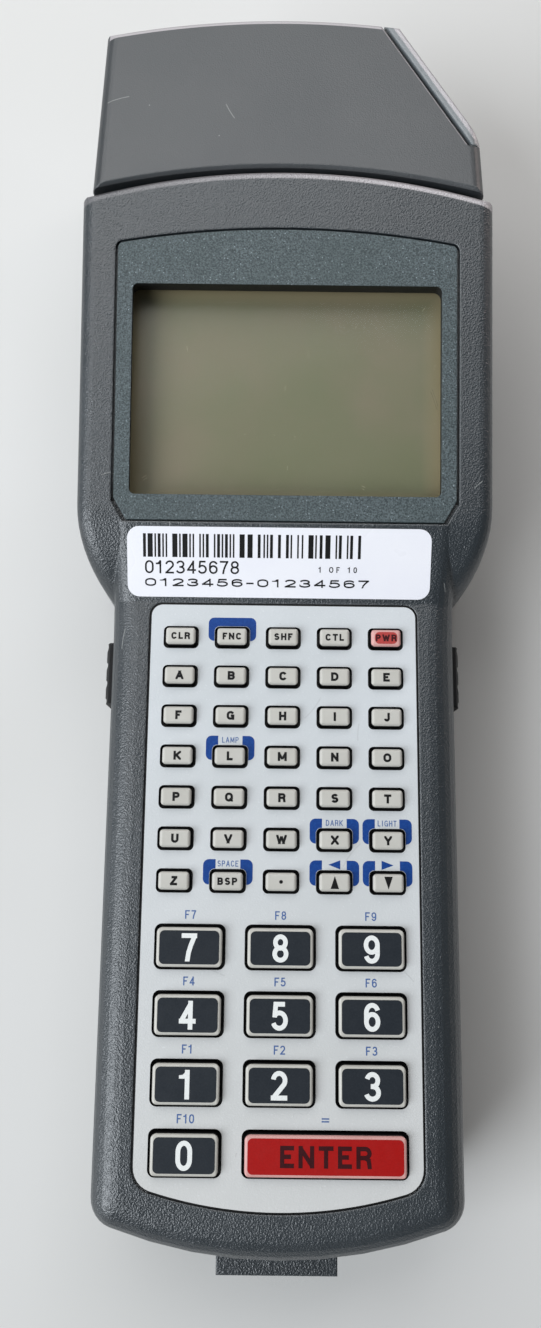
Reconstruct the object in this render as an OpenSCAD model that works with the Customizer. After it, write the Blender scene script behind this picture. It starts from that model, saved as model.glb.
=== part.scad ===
// Handheld barcode data terminal with a swivelling scan head.
// Millimetres. X runs across, Y from the grip's foot to the head, and Z up through the keys.
// The flat back lies on z = 0, and the origin is the middle of the overall length and width.
// Inside the modules, y is counted from the foot of the grip; placed() moves it to the origin.

/* [Keypad] */
// Pitch of the letter keys across
letter_pitch_x = 9; // [8.4:0.1:11]
// Pitch of the letter keys along the grip
letter_pitch_y = 7; // [5.6:0.1:8.4]
// Opening for a letter key: width
letter_w = 6.2; // [5:0.1:7.4]
// Opening for a letter key: length
letter_l = 4; // [3.3:0.1:4.8]
// Pitch of the number keys across
digit_pitch_x = 15.1; // [13.8:0.1:18.2]
// Pitch of the number keys along the grip
digit_pitch_y = 10.7; // [9.4:0.1:12.9]
// Opening for a number key: width
digit_w = 11.9; // [9.9:0.1:13]
// Opening for a number key: length
digit_l = 7.4; // [6.1:0.1:8.8]
// Distance from the top number row to the bottom letter row
block_gap = 10.75; // [9:0.25:13]
// Gap round each key in its opening
key_gap = 0.5; // [0.3:0.05:0.6]
// How far a key can be pressed
key_travel = 1; // [0.6:0.1:1.2]
// How far a key stands above the keypad face
key_rise = 1.3; // [1.1:0.1:1.6]
// Thickness of the keypad overlay
overlay_t = 1.5; // [1.2:0.1:1.8]
// Overlay rim beside the number keys
overlay_side = 2.45; // [2:0.05:4]
// Overlay above the top letter row's centres
overlay_head = 6.1; // [5:0.1:8]
// Overlay below the last number row's centres
overlay_foot = 8.9; // [7.5:0.1:11]

/* [Grip] */
// Height of the keypad face above the back
grip_h = 29.5; // [28:0.5:36]
// Housing beside the overlay
grip_border = 7.1; // [6.5:0.1:9]
// Housing below the overlay
grip_foot = 8.3; // [7:0.1:10]
// Radius of the foot's long curve, seen from above
foot_arc_r = 82; // [68:1:99]
// Radius of the foot's two corners, seen from above
foot_corner_r = 5; // [5:0.5:7]
// Radius along the grip's top edges
grip_edge_r = 5; // [4:0.25:6]
// Radius along the back's edges
back_edge_r = 4; // [3:0.25:5]
// Wall of the housing
wall = 2.4; // [2:0.1:2.9]

/* [Display section] */
// How far each shoulder stands out from the grip
shoulder_out = 6.25; // [5:0.25:7.5]
// Radius of the shoulders, seen from above
shoulder_r = 24.5; // [22:0.5:29.5]
// Slope from the keypad face up to the display face, degrees
ramp_tilt = 21.3; // [18:0.1:25]
// Plan length of that slope
ramp_l = 13.1; // [11:0.1:15.5]
// Tilt of the display face, degrees
face_tilt = 7.7; // [6.5:0.1:9.2]
// Radius along the display section's edges
face_edge_r = 2.7; // [2.2:0.1:3.2]
// Width of the display opening
window_w = 54.8; // [50:0.1:56]
// Length of the display opening, along the face
window_l = 37.7; // [34:0.1:45]
// Bezel beside the display opening
bezel_side = 2.7; // [2.4:0.1:3.2]
// Bezel below the display opening
bezel_foot = 4.5; // [4:0.1:5.4]
// Bezel above the display opening, at its corners
bezel_head = 7.3; // [6.5:0.1:8.7]
// Radius of the bezel's curved top edge
bezel_arc_r = 168; // [140:1:201]
// Thickness of the bezel
bezel_t = 1; // [0.8:0.1:1.2]
// Groove round the bezel
bezel_gap = 0.5; // [0.3:0.05:0.6]
// Face between the bezel's corners and the dome joint
bezel_to_dome = 13.5; // [12:0.1:16]

/* [Scan head] */
// Radius of the spherical joint between body and head
dome_r = 133; // [128:1:160]
// Running gap in the spherical joint
dome_gap = 1.1; // [0.8:0.1:1.4]
// Bevels on the rims of the joint and on the head's tip
rim_bevel = 0.6; // [0.4:0.1:0.8]
// Length of the head's face on its centre line
head_l = 33; // [30:0.5:40]
// Width of the head at the joint
head_w = 70; // [68:0.5:72]
// Draft of the head's four sides, degrees
head_draft = 2; // [1.6:0.1:2.4]
// Radius of the head's curved tip
head_tip_r = 150; // [125:1:180]
// Radius along the head's edges
head_edge_r = 2.2; // [1.8:0.1:2.7]
// Turn of the window face from straight ahead, degrees
scan_turn = 59; // [50:1:65]
// How far down the head's side the window's corner cut reaches
scan_cut = 26.5; // [24:0.5:29]
// Thickness of the scan window's frame
frame_t = 1.8; // [1.5:0.1:2.2]
// Groove between the window's frame and the head
frame_gap = 0.8; // [0.6:0.1:1]
// Radius of the swivel's neck
neck_r = 9; // [7.5:0.5:10.8]
// Radial clearance of the neck in its bearing
neck_clear = 0.06; // [0.03:0.01:0.09]

/* [Triggers] */
// Length of a side trigger
trigger_l = 11; // [9:0.5:13.5]
// Height of a side trigger
trigger_h = 9; // [7.5:0.5:10]
// How far a trigger stands out of the grip's side
trigger_out = 1.7; // [1.5:0.1:2.1]
// How far a trigger can be pressed
trigger_travel = 1.2; // [0.8:0.1:1.3]

/* [Battery] */
// Diameter of a battery cell
cell_d = 14.2; // [11.8:0.1:14.6]
// Length of a battery cell
cell_l = 50.5; // [42:0.5:60.5]
// Space round the pack in its bay
bay_gap = 0.8; // [0.6:0.1:1]
// Thickness of the battery door
door_t = 2.2; // [1.9:0.1:2.6]
// Gap round the battery door
door_gap = 0.3; // [0.2:0.05:0.4]
// Radius of the door's hinge barrel
barrel_r = 2.5; // [2.4:0.1:3]
// Radius of the door's hinge pins
pin_r = 1.2; // [1:0.1:1.4]
// Radial clearance of the hinge pins
pin_clear = 0.06; // [0.03:0.01:0.09]

/* [Screws and board] */
// Radius of the housing screws' shanks
screw_r = 1.1; // [0.9:0.05:1.3]
// Radius of the housing screws' heads
screw_head_r = 2.1; // [1.8:0.1:2.5]
// Radial clearance of the screws
screw_clear = 0.1; // [0.06:0.02:0.2]
// Thickness of the circuit board
board_t = 1.6; // [1.3:0.1:1.9]

/* [Hidden] */
$fn = 64;
BIG_FN = 240; // for the dome's and the tip's large spheres
ARC_STEPS = 6; // facets along a quarter-round edge

LETTER_ROWS = [
  ["clr", "fnc", "shf", "ctl", "pwr"],
  ["a", "b", "c", "d", "e"],
  ["f", "g", "h", "i", "j"],
  ["k", "l", "m", "n", "o"],
  ["p", "q", "r", "s", "t"],
  ["u", "v", "w", "x", "y"],
  ["z", "bsp", "dot", "up", "down"]];
DIGIT_ROWS = [["7", "8", "9"], ["4", "5", "6"], ["1", "2", "3"], ["0"]];
function letter_name(r, c) = str("key_", LETTER_ROWS[r][c]);
function digit_name(r, c) = str("key_", DIGIT_ROWS[r][c]);

// Keypad layout, counted from the foot
letter_cols = len(LETTER_ROWS[0]);
digit_cols = len(DIGIT_ROWS[0]);
overlay_y = grip_foot; // lowest point of the overlay's curved foot
digit_y0 = overlay_y + overlay_foot;
letter_y0 = digit_y0 + (len(DIGIT_ROWS) - 1) * digit_pitch_y + block_gap;
overlay_top = letter_y0 + (len(LETTER_ROWS) - 1) * letter_pitch_y + overlay_head;
overlay_w = max((letter_cols - 1) * letter_pitch_x + letter_w,
                (digit_cols - 1) * digit_pitch_x + digit_w) + 2 * overlay_side;
overlay_r = 2.2;
overlay_foot_r = 4;
overlay_gap = 0.15;
function letter_x(c) = (c - (letter_cols - 1) / 2) * letter_pitch_x;
function letter_y(r) = letter_y0 + (len(LETTER_ROWS) - 1 - r) * letter_pitch_y;
function digit_x(c) = (c - (digit_cols - 1) / 2) * digit_pitch_x;
function digit_y(r) = digit_y0 + (len(DIGIT_ROWS) - 1 - r) * digit_pitch_y;
enter_w = digit_pitch_x + digit_w; // it spans the last two columns
enter_x = (digit_x(1) + digit_x(2)) / 2;

// Body outline and profile
grip_w = overlay_w + 2 * grip_border;
display_w = grip_w + 2 * shoulder_out;
ramp_y = overlay_top + 0.4;
face_y = ramp_y + ramp_l; // bend between the slope and the display face
face_z = grip_h + ramp_l * tan(ramp_tilt);
bezel_y = 0.3; // along the face, from the bend
bezel_w = window_w + 2 * bezel_side;
bezel_corner_l = bezel_foot + window_l + bezel_head; // along the face, to its top corners
joint_y = face_y + (bezel_y + bezel_corner_l + bezel_to_dome) * cos(face_tilt);
joint_z = face_z + (joint_y - face_y) * tan(face_tilt);
axis_z = joint_z / 2; // swivel axis, at the middle of the thickness
dome_y = joint_y - sqrt(pow(dome_r, 2) - pow(joint_z - axis_z, 2)); // the sphere's centre
head_tip = joint_y + head_l + 1.2;
foot_block_out = 4.4;
mid_y = (head_tip - foot_block_out) / 2;
deck_t = wall + 0.2; // housing under the bezel, the overlay's ledge and the slope

// Height of the grip's top at y, and the edge radius there
function ridge_z(y) = y <= ramp_y ? grip_h
  : y <= face_y ? grip_h + (y - ramp_y) * tan(ramp_tilt)
  : face_z + (y - face_y) * tan(face_tilt);
function ridge_r(y) = y <= ramp_y - 6 ? grip_edge_r
  : y >= face_y ? face_edge_r
  : grip_edge_r + (face_edge_r - grip_edge_r) * (y - ramp_y + 6) / (face_y - ramp_y + 6);

// The shoulders' tops leave the display face and fall in an elliptical curve to the grip
fall_y = face_y + 3;
fall_l = 21;
fall_h = 24;
function shoulder_z(y) = max(axis_z + face_edge_r + 2 * seam + 0.3, ridge_z(max(y, fall_y))
  + (y >= fall_y ? 0 : (y - fall_y) * tan(face_tilt)
     - fall_h * (1 - sqrt(max(0, 1 - pow((fall_y - y) / fall_l, 2))))));

// Outlines are lists of [x, y, direction of the outward normal], from the centre line at
// the foot round the right side to the head end. Each is mirrored to make a closed ring.
function arc(cx, cy, r, a0, a1, n) =
  [for (i = [0:n]) let (a = a0 + (a1 - a0) * i / n) [cx + r * cos(a), cy + r * sin(a), a]];
function rest(list) = [for (i = [1:len(list) - 1]) list[i]];
function foot_y(x, d) = foot_arc_r - sqrt(pow(foot_arc_r - d, 2) - pow(x, 2)); // d inside it
corner_x = grip_w / 2 - foot_corner_r;
corner_y = foot_y(corner_x, foot_corner_r);
corner_a = atan2(corner_y - foot_arc_r, corner_x);
ridge_end = fall_y + 2;
foot_outline = concat(
  arc(0, foot_arc_r, foot_arc_r, -90, corner_a, 4),
  rest(arc(corner_x, corner_y, foot_corner_r, corner_a, 0, ARC_STEPS)));
grip_outline = concat(
  foot_outline,
  [for (y = [ramp_y - 6, ramp_y - 3, ramp_y, face_y, ridge_end]) [grip_w / 2, y, 0]]);
shoulder_x = display_w / 2 - shoulder_r;
shoulder_y = fall_y + 0.6;
shoulder_a = -asin(min(0.98, (shoulder_y - ramp_y + 3) / shoulder_r)); // where it is inside the grip
display_outline = concat(
  [[0, shoulder_y + shoulder_r * sin(shoulder_a), -90]],
  arc(shoulder_x, shoulder_y, shoulder_r, shoulder_a, 0, 12),
  [[display_w / 2, dome_y + dome_r + 1, 0]]);

// The back's outline runs round the grip, a small fillet and the shoulder in one ring
fillet_r = 2;
fillet_x = grip_w / 2 + fillet_r;
fillet_y = shoulder_y - sqrt(pow(shoulder_r + fillet_r, 2) - pow(fillet_x - shoulder_x, 2));
fillet_a = atan2(shoulder_y - fillet_y, shoulder_x - fillet_x);
back_outline = concat(
  foot_outline,
  [for (i = [0:4]) let (a = 180 + (fillet_a - 180) * i / 4)
    [fillet_x + fillet_r * cos(a), fillet_y + fillet_r * sin(a), a - 180]],
  rest(arc(shoulder_x, shoulder_y, shoulder_r, fillet_a - 180, 0, 10)),
  [[display_w / 2, dome_y + dome_r + 1, 0]]);

// A slab with the given outline, as rings from its foot to its top. Its top follows a height
// function of y, so it is a row of flat strips. A shadow line runs round it above the seam.
seam = 0.35;
function mirrored(ring) =
  concat(ring, [for (i = [len(ring) - 1:-1:1]) [-ring[i][0], ring[i][1], ring[i][2]]]);
function inset(p, d) = [p[0] == 0 ? 0 : p[0] - d * cos(p[2]), p[1] - d * sin(p[2])];
module ring_solid(rings, strips) {
  n = len(rings[0]);
  half = (n - 1) / 2;
  last = (len(rings) - 1) * n;
  left = function (i) i == 0 ? 0 : n - i;
  sides = [for (k = [0:len(rings) - 2], i = [0:n - 1])
    [k * n + i, (k + 1) * n + i, (k + 1) * n + (i + 1) % n, k * n + (i + 1) % n]];
  top = strips
    ? [for (i = [0:half - 1]) i == 0 ? [last, last + left(1), last + 1]
        : [last + left(i), last + left(i + 1), last + i + 1, last + i]]
    : [[for (i = [n - 1:-1:0]) last + i]];
  polyhedron([for (r = rings, p = r) p], concat([[for (i = [0:n - 1]) i]], sides, top), 4);
}
module upper_form(outline, top_z, edge_r) {
  walls = [for (level = [[seam, -1], [seam, seam], [0, 2 * seam]])
    [for (p = outline) let (q = inset(p, level[0])) [q[0], q[1], axis_z + level[1]]]];
  bands = [for (k = [0:ARC_STEPS]) let (a = 90 * k / ARC_STEPS)
    [for (p = outline) let (r = edge_r(p[1]), q = inset(p, r * (1 - cos(a))))
      [q[0], q[1], top_z(q[1]) - r * (1 - sin(a))]]];
  ring_solid([for (r = concat(walls, bands)) mirrored(r)], true);
}
module lower_form(outline, edge_r) {
  bands = [for (k = [0:ARC_STEPS]) let (a = 90 - 90 * k / ARC_STEPS)
    [for (p = outline) let (q = inset(p, edge_r * (1 - cos(a))))
      [q[0], q[1], edge_r * (1 - sin(a))]]];
  walls = [for (p = outline) [p[0], p[1], axis_z + 1]];
  below = [for (p = bands[0]) [p[0], p[1], -1]];
  ring_solid([for (r = concat([below], bands, [walls])) mirrored(r)], false);
}

module placed() { translate([0, -mid_y, 0]) children(); }
module dome(grow = 0) {
  translate([0, dome_y, axis_z]) sphere(dome_r + grow, $fn = BIG_FN);
}
// A cone that bevels the rim where a sphere of radius r, centred at y on the swivel's axis,
// comes through a plane of the given tilt through p. Inside 1, the sphere's inside is solid
// and the cone is intersected with it. Inside -1, the sphere is a hollow, and so is the cone.
module rim_cone(r, y, p, tilt, inside = 1) {
  along = (y - p[0]) * cos(tilt) + (axis_z - p[1]) * sin(tilt);
  depth = (y - p[0]) * sin(tilt) - (axis_z - p[1]) * cos(tilt);
  rim = sqrt(pow(r, 2) - pow(depth, 2));
  low = -60;
  high = 6;
  translate([0, p[0], p[1]]) rotate([tilt, 0, 0]) translate([0, along, low])
    cylinder(r1 = rim - inside * (rim_bevel + low), r2 = rim - inside * (rim_bevel + high),
      h = high - low, $fn = BIG_FN);
}
module upside_down() { translate([0, 0, 2 * axis_z]) mirror([0, 0, 1]) children(); }
module on_face() { translate([0, face_y, face_z]) rotate([face_tilt, 0, 0]) children(); }
// Its seam is turned away from the parting plane
module along_y(y0, y1, r, x = 0, z = axis_z) {
  translate([x, y0, z]) rotate([-90, 0, 0]) rotate(45) cylinder(r = r, h = y1 - y0);
}
module round_rect(w, l, r) {
  square([w - 2 * r, l], center = true);
  square([w, l - 2 * r], center = true);
  for (x = [-1, 1], y = [-1, 1]) translate([x * (w / 2 - r), y * (l / 2 - r)]) circle(r);
}

// Housing screws: two at the foot, two at the ramp and two beside the display
boss_r = 3;
boss_clear = 0.3; // between a post and the inside of the foot's curved wall
screw_foot_x = overlay_w / 2 - 3.5;
screw_spots = [
  for (s = [-1, 1]) [s * screw_foot_x, foot_y(screw_foot_x, wall + boss_clear + boss_r)],
  for (s = [-1, 1]) [s * (overlay_w / 2 - 0.3), ramp_y + 1],
  for (s = [-1, 1]) [s * (display_w / 2 - wall - 4.4), joint_y - 11]];
screw_head_h = 1.5;
screw_z = 3.4; // underside of the head's recess
screw_l = grip_h - 3.1 - screw_z;
board_z = axis_z + 1; // underside of the board
board_top = board_z + board_t;
board_w = overlay_w - 1.2;

// Both forms run past the planes that part and floor them, and are cut there
module between(low, high) {
  translate([-display_w, -1, low]) cube([2 * display_w, head_tip, high - low]);
}
module front_form() {
  intersection() {
    union() {
      upper_form(grip_outline, function (y) ridge_z(y), function (y) ridge_r(y));
      intersection() {
        upper_form(display_outline, function (y) shoulder_z(y), function (y) face_edge_r);
        dome();
        rim_cone(dome_r, dome_y, [face_y, face_z], face_tilt);
      }
    }
    between(axis_z, 2 * joint_z);
  }
}
module back_form() {
  intersection() {
    lower_form(back_outline, back_edge_r);
    dome();
    between(0, axis_z);
  }
}

// Plan of the space inside the grip's walls
module grip_inside(w) {
  intersection() {
    translate([0, foot_arc_r]) circle(foot_arc_r - wall, $fn = BIG_FN);
    translate([-w / 2, 0]) square([w, face_y + 4]);
  }
}
// A shape with straight sides whose end at y = 0 is an arc of radius long_r, bulging towards
// -y, with corners of radius r that run into both. It runs up to y = l.
bite = 0.02; // by which a corner's circle crosses the arc
module bowed_rect(w, l, long_r, r) {
  reach = long_r - r + bite; // from the arc's centre to a corner's
  nook = sqrt(pow(reach, 2) - pow(w / 2 - r, 2));
  touch = (w / 2 - r) * long_r / reach;
  intersection() {
    translate([0, long_r]) circle(long_r, $fn = BIG_FN);
    union() {
      translate([-touch, -1]) square([2 * touch, l + 1]);
      translate([-w / 2, long_r - nook]) square([w, l - long_r + nook]);
      for (s = [-1, 1]) translate([s * (w / 2 - r), long_r - nook]) circle(r);
    }
  }
}
module overlay_plan(grow = 0) {
  w = overlay_w + 2 * grow;
  r = overlay_r + grow;
  top = overlay_top + grow;
  translate([0, overlay_y - grow])
    bowed_rect(w, top - r - overlay_y + grow, foot_arc_r - grip_foot + grow, overlay_foot_r + grow);
  translate([-w / 2 + r, top - r - 1]) square([w - 2 * r, r + 1]);
  for (s = [-1, 1]) translate([s * (w / 2 - r), top - r]) circle(r);
}
// The overlay lies on a ledge, and the keys come up through a window inside the ledge
ledge = 1.6;
cross_bar_y = (digit_y(0) + letter_y(len(LETTER_ROWS) - 1)) / 2;
module key_windows() {
  w = overlay_w - 2 * ledge;
  low = digit_y0 - digit_l / 2 - 1.6;
  high = letter_y(0) + letter_l / 2 + 1.6;
  bar = 1.4;
  translate([-w / 2, low]) square([w, cross_bar_y - bar / 2 - low]);
  translate([-w / 2, cross_bar_y + bar / 2]) square([w, high - cross_bar_y - bar / 2]);
}

trigger_y = letter_y(0) - 5.7;
trigger_z = axis_z - 1.5;
trigger_gap = 0.3;
trigger_back = 1.3; // the flange's inner face, from the wall's inner face
switch_x = grip_w / 2 - wall - trigger_back - trigger_travel - 0.15; // face of the switch behind it
switch_l = switch_x - board_w / 2 + 4;
module trigger_slots() {
  for (s = [-1, 1]) translate([s * grip_w / 2, trigger_y, trigger_z])
    cube([4 * wall, trigger_l + 2 * trigger_gap, trigger_h + 2 * trigger_gap], center = true);
}

// Space inside the front shell, following the slope and the display face
module front_space() {
  w = grip_w - 2 * wall;
  deck_z = grip_h - overlay_t - 1.2;
  translate([0, 0, axis_z - 1]) linear_extrude(deck_z - axis_z + 1) grip_inside(w);
  intersection() {
    translate([display_w / 2 - wall, 0, 0]) rotate([0, -90, 0])
      linear_extrude(display_w - 2 * wall) polygon([
        [axis_z - 1, face_y + 2], [axis_z - 1, joint_y + 6],
        [ridge_z(joint_y + 6) - bezel_t - deck_t, joint_y + 6],
        [ridge_z(face_y + 2) - bezel_t - deck_t, face_y + 2]]);
    dome(-wall - 0.6);
  }
  translate([w / 2, 0, 0]) rotate([0, -90, 0]) linear_extrude(w) polygon([
    [axis_z - 1, ramp_y - 6], [axis_z - 1, face_y + 3],
    [ridge_z(face_y + 3) - bezel_t - deck_t, face_y + 3], [deck_z, ramp_y + 1.5],
    [deck_z, ramp_y - 6]]);
}
module neck_bearing() {
  along_y(joint_y - 12, joint_y + 12, neck_r + neck_clear);
}

module front_housing() color("#4b5258") placed() {
  difference() {
    front_form();
    front_space();
    translate([0, 0, grip_h - overlay_t]) linear_extrude(overlay_t + 1) overlay_plan(overlay_gap);
    translate([0, 0, axis_z]) linear_extrude(grip_h) key_windows();
    on_face() {
      translate([0, 0, -bezel_t]) linear_extrude(bezel_t + 2) bezel_plan(bezel_gap);
      translate([0, bezel_y + bezel_foot + window_l / 2, -bezel_t - deck_t - 1])
        linear_extrude(deck_t + 2) round_rect(window_w + 0.8, window_l + 0.8, 1.4);
    }
    trigger_slots();
    neck_bearing();
  }
  for (p = screw_spots) difference() {
    translate([p[0], p[1], board_top])
      cylinder(r = boss_r, h = ridge_z(p[1]) - 2 - board_top);
    translate([p[0], p[1], board_top - 1]) cylinder(r = screw_r + screw_clear, h = screw_l);
  }
}

// Back shell with its battery bay, hinge sockets, screw posts and foot connector
bay_w = 3 * cell_d + 1.4 + 2 * bay_gap;
pack_l = cell_l + 5;
bay_l = pack_l + 2 * bay_gap;
door_rise = 0.1; // between the door's inner face and its ledge
bay_z = door_t + door_rise;
bay_top = bay_z + cell_d + 0.6;
door_w = bay_w + 3;
hinge_y = grip_foot + 14;
hinge_z = barrel_r;
bay_y = hinge_y + barrel_r + door_gap + 1.6;
door_end = bay_y + bay_l + 2;
pin_reach = 1.8; // of each pin past the door's side
block_w = 20.3;
block_z = [8.5, 19.5];

bay_wall = 1.6;
cheek = 2.5; // beside the door's hinge, for its pins
rim_h = 2 * barrel_r + 1; // low frame round the door
module back_space() {
  low_y = hinge_y - barrel_r - door_gap - bay_wall;
  difference() {
    union() {
      translate([0, 0, wall]) linear_extrude(axis_z) grip_inside(grip_w - 2 * wall);
      intersection() {
        translate([-display_w / 2 + wall, face_y + 2, wall])
          cube([display_w - 2 * wall, joint_y, axis_z]);
        dome(-wall - 0.6);
      }
    }
    translate([-bay_w / 2 - bay_wall, bay_y - bay_wall, 0])
      cube([bay_w + 2 * bay_wall, bay_l + 2 * bay_wall, bay_top + bay_wall]);
    translate([-door_w / 2 - door_gap - cheek, low_y, 0])
      cube([door_w + 2 * (door_gap + cheek), door_end + door_gap + bay_wall - low_y, rim_h]);
    for (p = screw_spots) translate([p[0], p[1], 0]) cylinder(r = boss_r, h = board_z + 5);
  }
}
module door_recess() {
  w = door_w + 2 * door_gap;
  translate([-w / 2, hinge_y, -1]) cube([w, door_end + door_gap - hinge_y, bay_z + 1]);
  translate([-w / 2, hinge_y - barrel_r - door_gap, -1])
    cube([w, barrel_r + door_gap + 1, hinge_z + 1]);
  translate([-w / 2, hinge_y, hinge_z]) rotate([0, 90, 0])
    cylinder(r = barrel_r + door_gap, h = w);
}
module hinge_pins(r, reach) {
  translate([-reach, hinge_y, hinge_z]) rotate([0, 90, 0]) cylinder(r = r, h = 2 * reach);
}
module back_housing() color("#464c52") placed() {
  difference() {
    union() {
      difference() {
        back_form();
        back_space();
      }
      for (p = screw_spots) translate([p[0], p[1], axis_z - 2])
        cylinder(r = boss_r, h = board_z - axis_z + 2);
      translate([-block_w / 2, -foot_block_out, block_z[0]])
        cube([block_w, foot_block_out + wall / 2, block_z[1] - block_z[0]]);
    }
    door_recess();
    translate([-bay_w / 2, bay_y, -1]) cube([bay_w, bay_l, bay_top + 1]);
    hinge_pins(pin_r + pin_clear, door_w / 2 + pin_reach + 0.3);
    for (p = screw_spots) translate([p[0], p[1], -1]) {
      cylinder(r = screw_head_r + 0.3, h = screw_z + 1);
      cylinder(r = screw_r + screw_clear, h = board_z + 2);
    }
    translate([-block_w / 2 + 2, -foot_block_out - 1, block_z[0] + 2])
      cube([block_w - 4, 1 + 3, block_z[1] - block_z[0] - 4]);
    translate([0, door_end + 3.5, -1.6]) rotate([0, 90, 0])
      cylinder(r = 4, h = 14, center = true); // finger groove behind the door's free end
    trigger_slots();
    neck_bearing();
  }
}

module keypad_overlay() color("#c9cdd0") placed() {
  translate([0, 0, grip_h - overlay_t]) linear_extrude(overlay_t) difference() {
    overlay_plan();
    for (r = [0:len(LETTER_ROWS) - 1], c = [0:letter_cols - 1])
      translate([letter_x(c), letter_y(r)]) round_rect(letter_w, letter_l, 0.9);
    for (r = [0:len(DIGIT_ROWS) - 1], c = [0:len(DIGIT_ROWS[r]) - 1])
      translate([digit_x(c), digit_y(r)]) round_rect(digit_w, digit_l, 1.2);
    translate([enter_x, digit_y0]) round_rect(enter_w, digit_l, 1.2);
  }
}

// A key cap: its plan cut by two crowned profiles, a flange that stays under the overlay,
// and a plunger over the board's contact
flange_t = 0.7;
flange_gap = 0.1;
module crowned(w, h, r, depth) {
  linear_extrude(depth, center = true) {
    translate([-w / 2, -5]) square([w, h - r + 5]);
    translate([-w / 2 + r, -5]) square([w - 2 * r, h + 5]);
    for (s = [-1, 1]) translate([s * (w / 2 - r), h - r]) circle(r, $fn = 32);
  }
}
module key(w, l, corner_r, edge_r, plunger_r) {
  cap_w = w - 2 * key_gap;
  cap_l = l - 2 * key_gap;
  flange_z = grip_h - overlay_t - flange_gap - flange_t;
  foot_z = board_top + key_travel + 0.1;
  intersection() {
    translate([0, 0, flange_z + 0.01]) linear_extrude(grip_h + key_rise - flange_z)
      round_rect(cap_w, cap_l, corner_r);
    translate([0, 0, grip_h]) rotate([90, 0, 0]) crowned(cap_w, key_rise, edge_r, 2 * l);
    translate([0, 0, grip_h]) rotate([90, 0, 90]) crowned(cap_l, key_rise, edge_r, 2 * w);
  }
  translate([0, 0, flange_z]) linear_extrude(flange_t)
    round_rect(w + 0.9, l + 0.9, corner_r + 0.3);
  translate([0, 0, foot_z]) cylinder(r = plunger_r, h = flange_z - foot_z + 0.1);
}
module letter_key(r, c) {
  color(letter_name(r, c) == "key_pwr" ? "#c06a66" : "#cfccc4")
    placed() translate([letter_x(c), letter_y(r), 0]) key(letter_w, letter_l, 0.7, 0.5, 1.2);
}
module digit_key(r, c) {
  color("#33383d") placed() translate([digit_x(c), digit_y(r), 0])
    key(digit_w, digit_l, 1, 0.45, 2.4);
}
module key_enter() color("#a32323") placed() translate([enter_x, digit_y0, 0])
  key(enter_w, digit_l, 1, 0.45, 2.4);

// Display stack, in the display face's own plane: y from the bend, z up from the face
bezel_cut = [2.2, 3.8]; // chamfer at the bezel's lower corners
bezel_r = 1;
module bezel_plan(grow = 0) {
  w = bezel_w + 2 * grow;
  sag = bezel_arc_r - sqrt(pow(bezel_arc_r, 2) - pow(bezel_w / 2, 2));
  head = bezel_y + bezel_corner_l + sag + grow;
  foot = bezel_y - grow;
  intersection() {
    polygon([
      [-w / 2 + bezel_cut[0], foot], [w / 2 - bezel_cut[0], foot], [w / 2, foot + bezel_cut[1]],
      [w / 2, head + 1], [-w / 2, head + 1], [-w / 2, foot + bezel_cut[1]]]);
    translate([0, head]) mirror([0, 1]) bowed_rect(w, head, bezel_arc_r + grow, bezel_r + grow);
  }
}
window_y = bezel_y + bezel_foot + window_l / 2;
pane_t = 1.2;
pane_z = -bezel_t - deck_t - 0.02;
module display_cover() placed() on_face() {
  color("#46525a") translate([0, 0, -bezel_t + 0.02]) linear_extrude(bezel_t + 0.1) difference() {
    bezel_plan();
    translate([0, window_y]) round_rect(window_w, window_l, 1);
  }
  color("#9aa0a0", 0.4) translate([0, window_y, pane_z - pane_t]) linear_extrude(pane_t)
    round_rect(window_w + 5, window_l + 5, 2);
}
lcd_t = 5;
lcd_rim = 2.5; // of its metal frame past the display opening
module lcd_module() color("#77745f") placed() on_face() {
  top = pane_z - pane_t - 0.05;
  w = window_w + 2 * lcd_rim;
  l = window_l + 2 * lcd_rim;
  difference() {
    translate([0, window_y, top - lcd_t]) linear_extrude(lcd_t) round_rect(w, l, 1);
    translate([0, window_y, top - 0.4]) linear_extrude(1) round_rect(w - 2.4, l - 2.4, 0.6);
    for (s = [-1, 1], i = [-1:1]) translate([s * w / 2, window_y + i * l / 3, top - lcd_t])
      cylinder(r = 1, h = 2.5, center = true); // notches under the frame's bent tabs
  }
}

// Circuit board between the posts, with a key switch behind each side trigger. The packages
// and the socket for the head's cable are on its underside.
chip_t = 1.8;
module chip(x, y, w, l, t = chip_t) {
  translate([x - w / 2, y - l / 2, board_z - t]) cube([w, l, t + 0.1]);
}
module main_board() color("#2f6b43") placed() {
  for (i = [-1:1]) chip(15 * i, letter_y0 + 9, 9, 18); // memory
  chip(0, face_y + 22, 22, 22); // processor
  chip(0, joint_y - 12, 20, 5, 2 * chip_t); // cable socket
  difference() {
    translate([0, 0, board_z]) linear_extrude(board_t) {
      intersection() {
        translate([0, foot_arc_r]) circle(foot_arc_r - wall - 0.8, $fn = BIG_FN);
        translate([-board_w / 2, overlay_y - 1.9]) square([board_w, face_y + 6 - overlay_y]);
      }
      translate([-display_w / 2 + wall + 1, face_y + 3])
        square([display_w - 2 * wall - 2, joint_y - 7 - face_y - 3]);
    }
    for (p = screw_spots) translate([p[0], p[1], board_z - 1])
      cylinder(r = screw_r + screw_clear, h = board_t + 2);
  }
  for (s = [-1, 1]) translate([s * (switch_x - switch_l / 2), trigger_y, board_z - 1.4])
    cube([switch_l, 6, 3], center = true);
}

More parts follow.
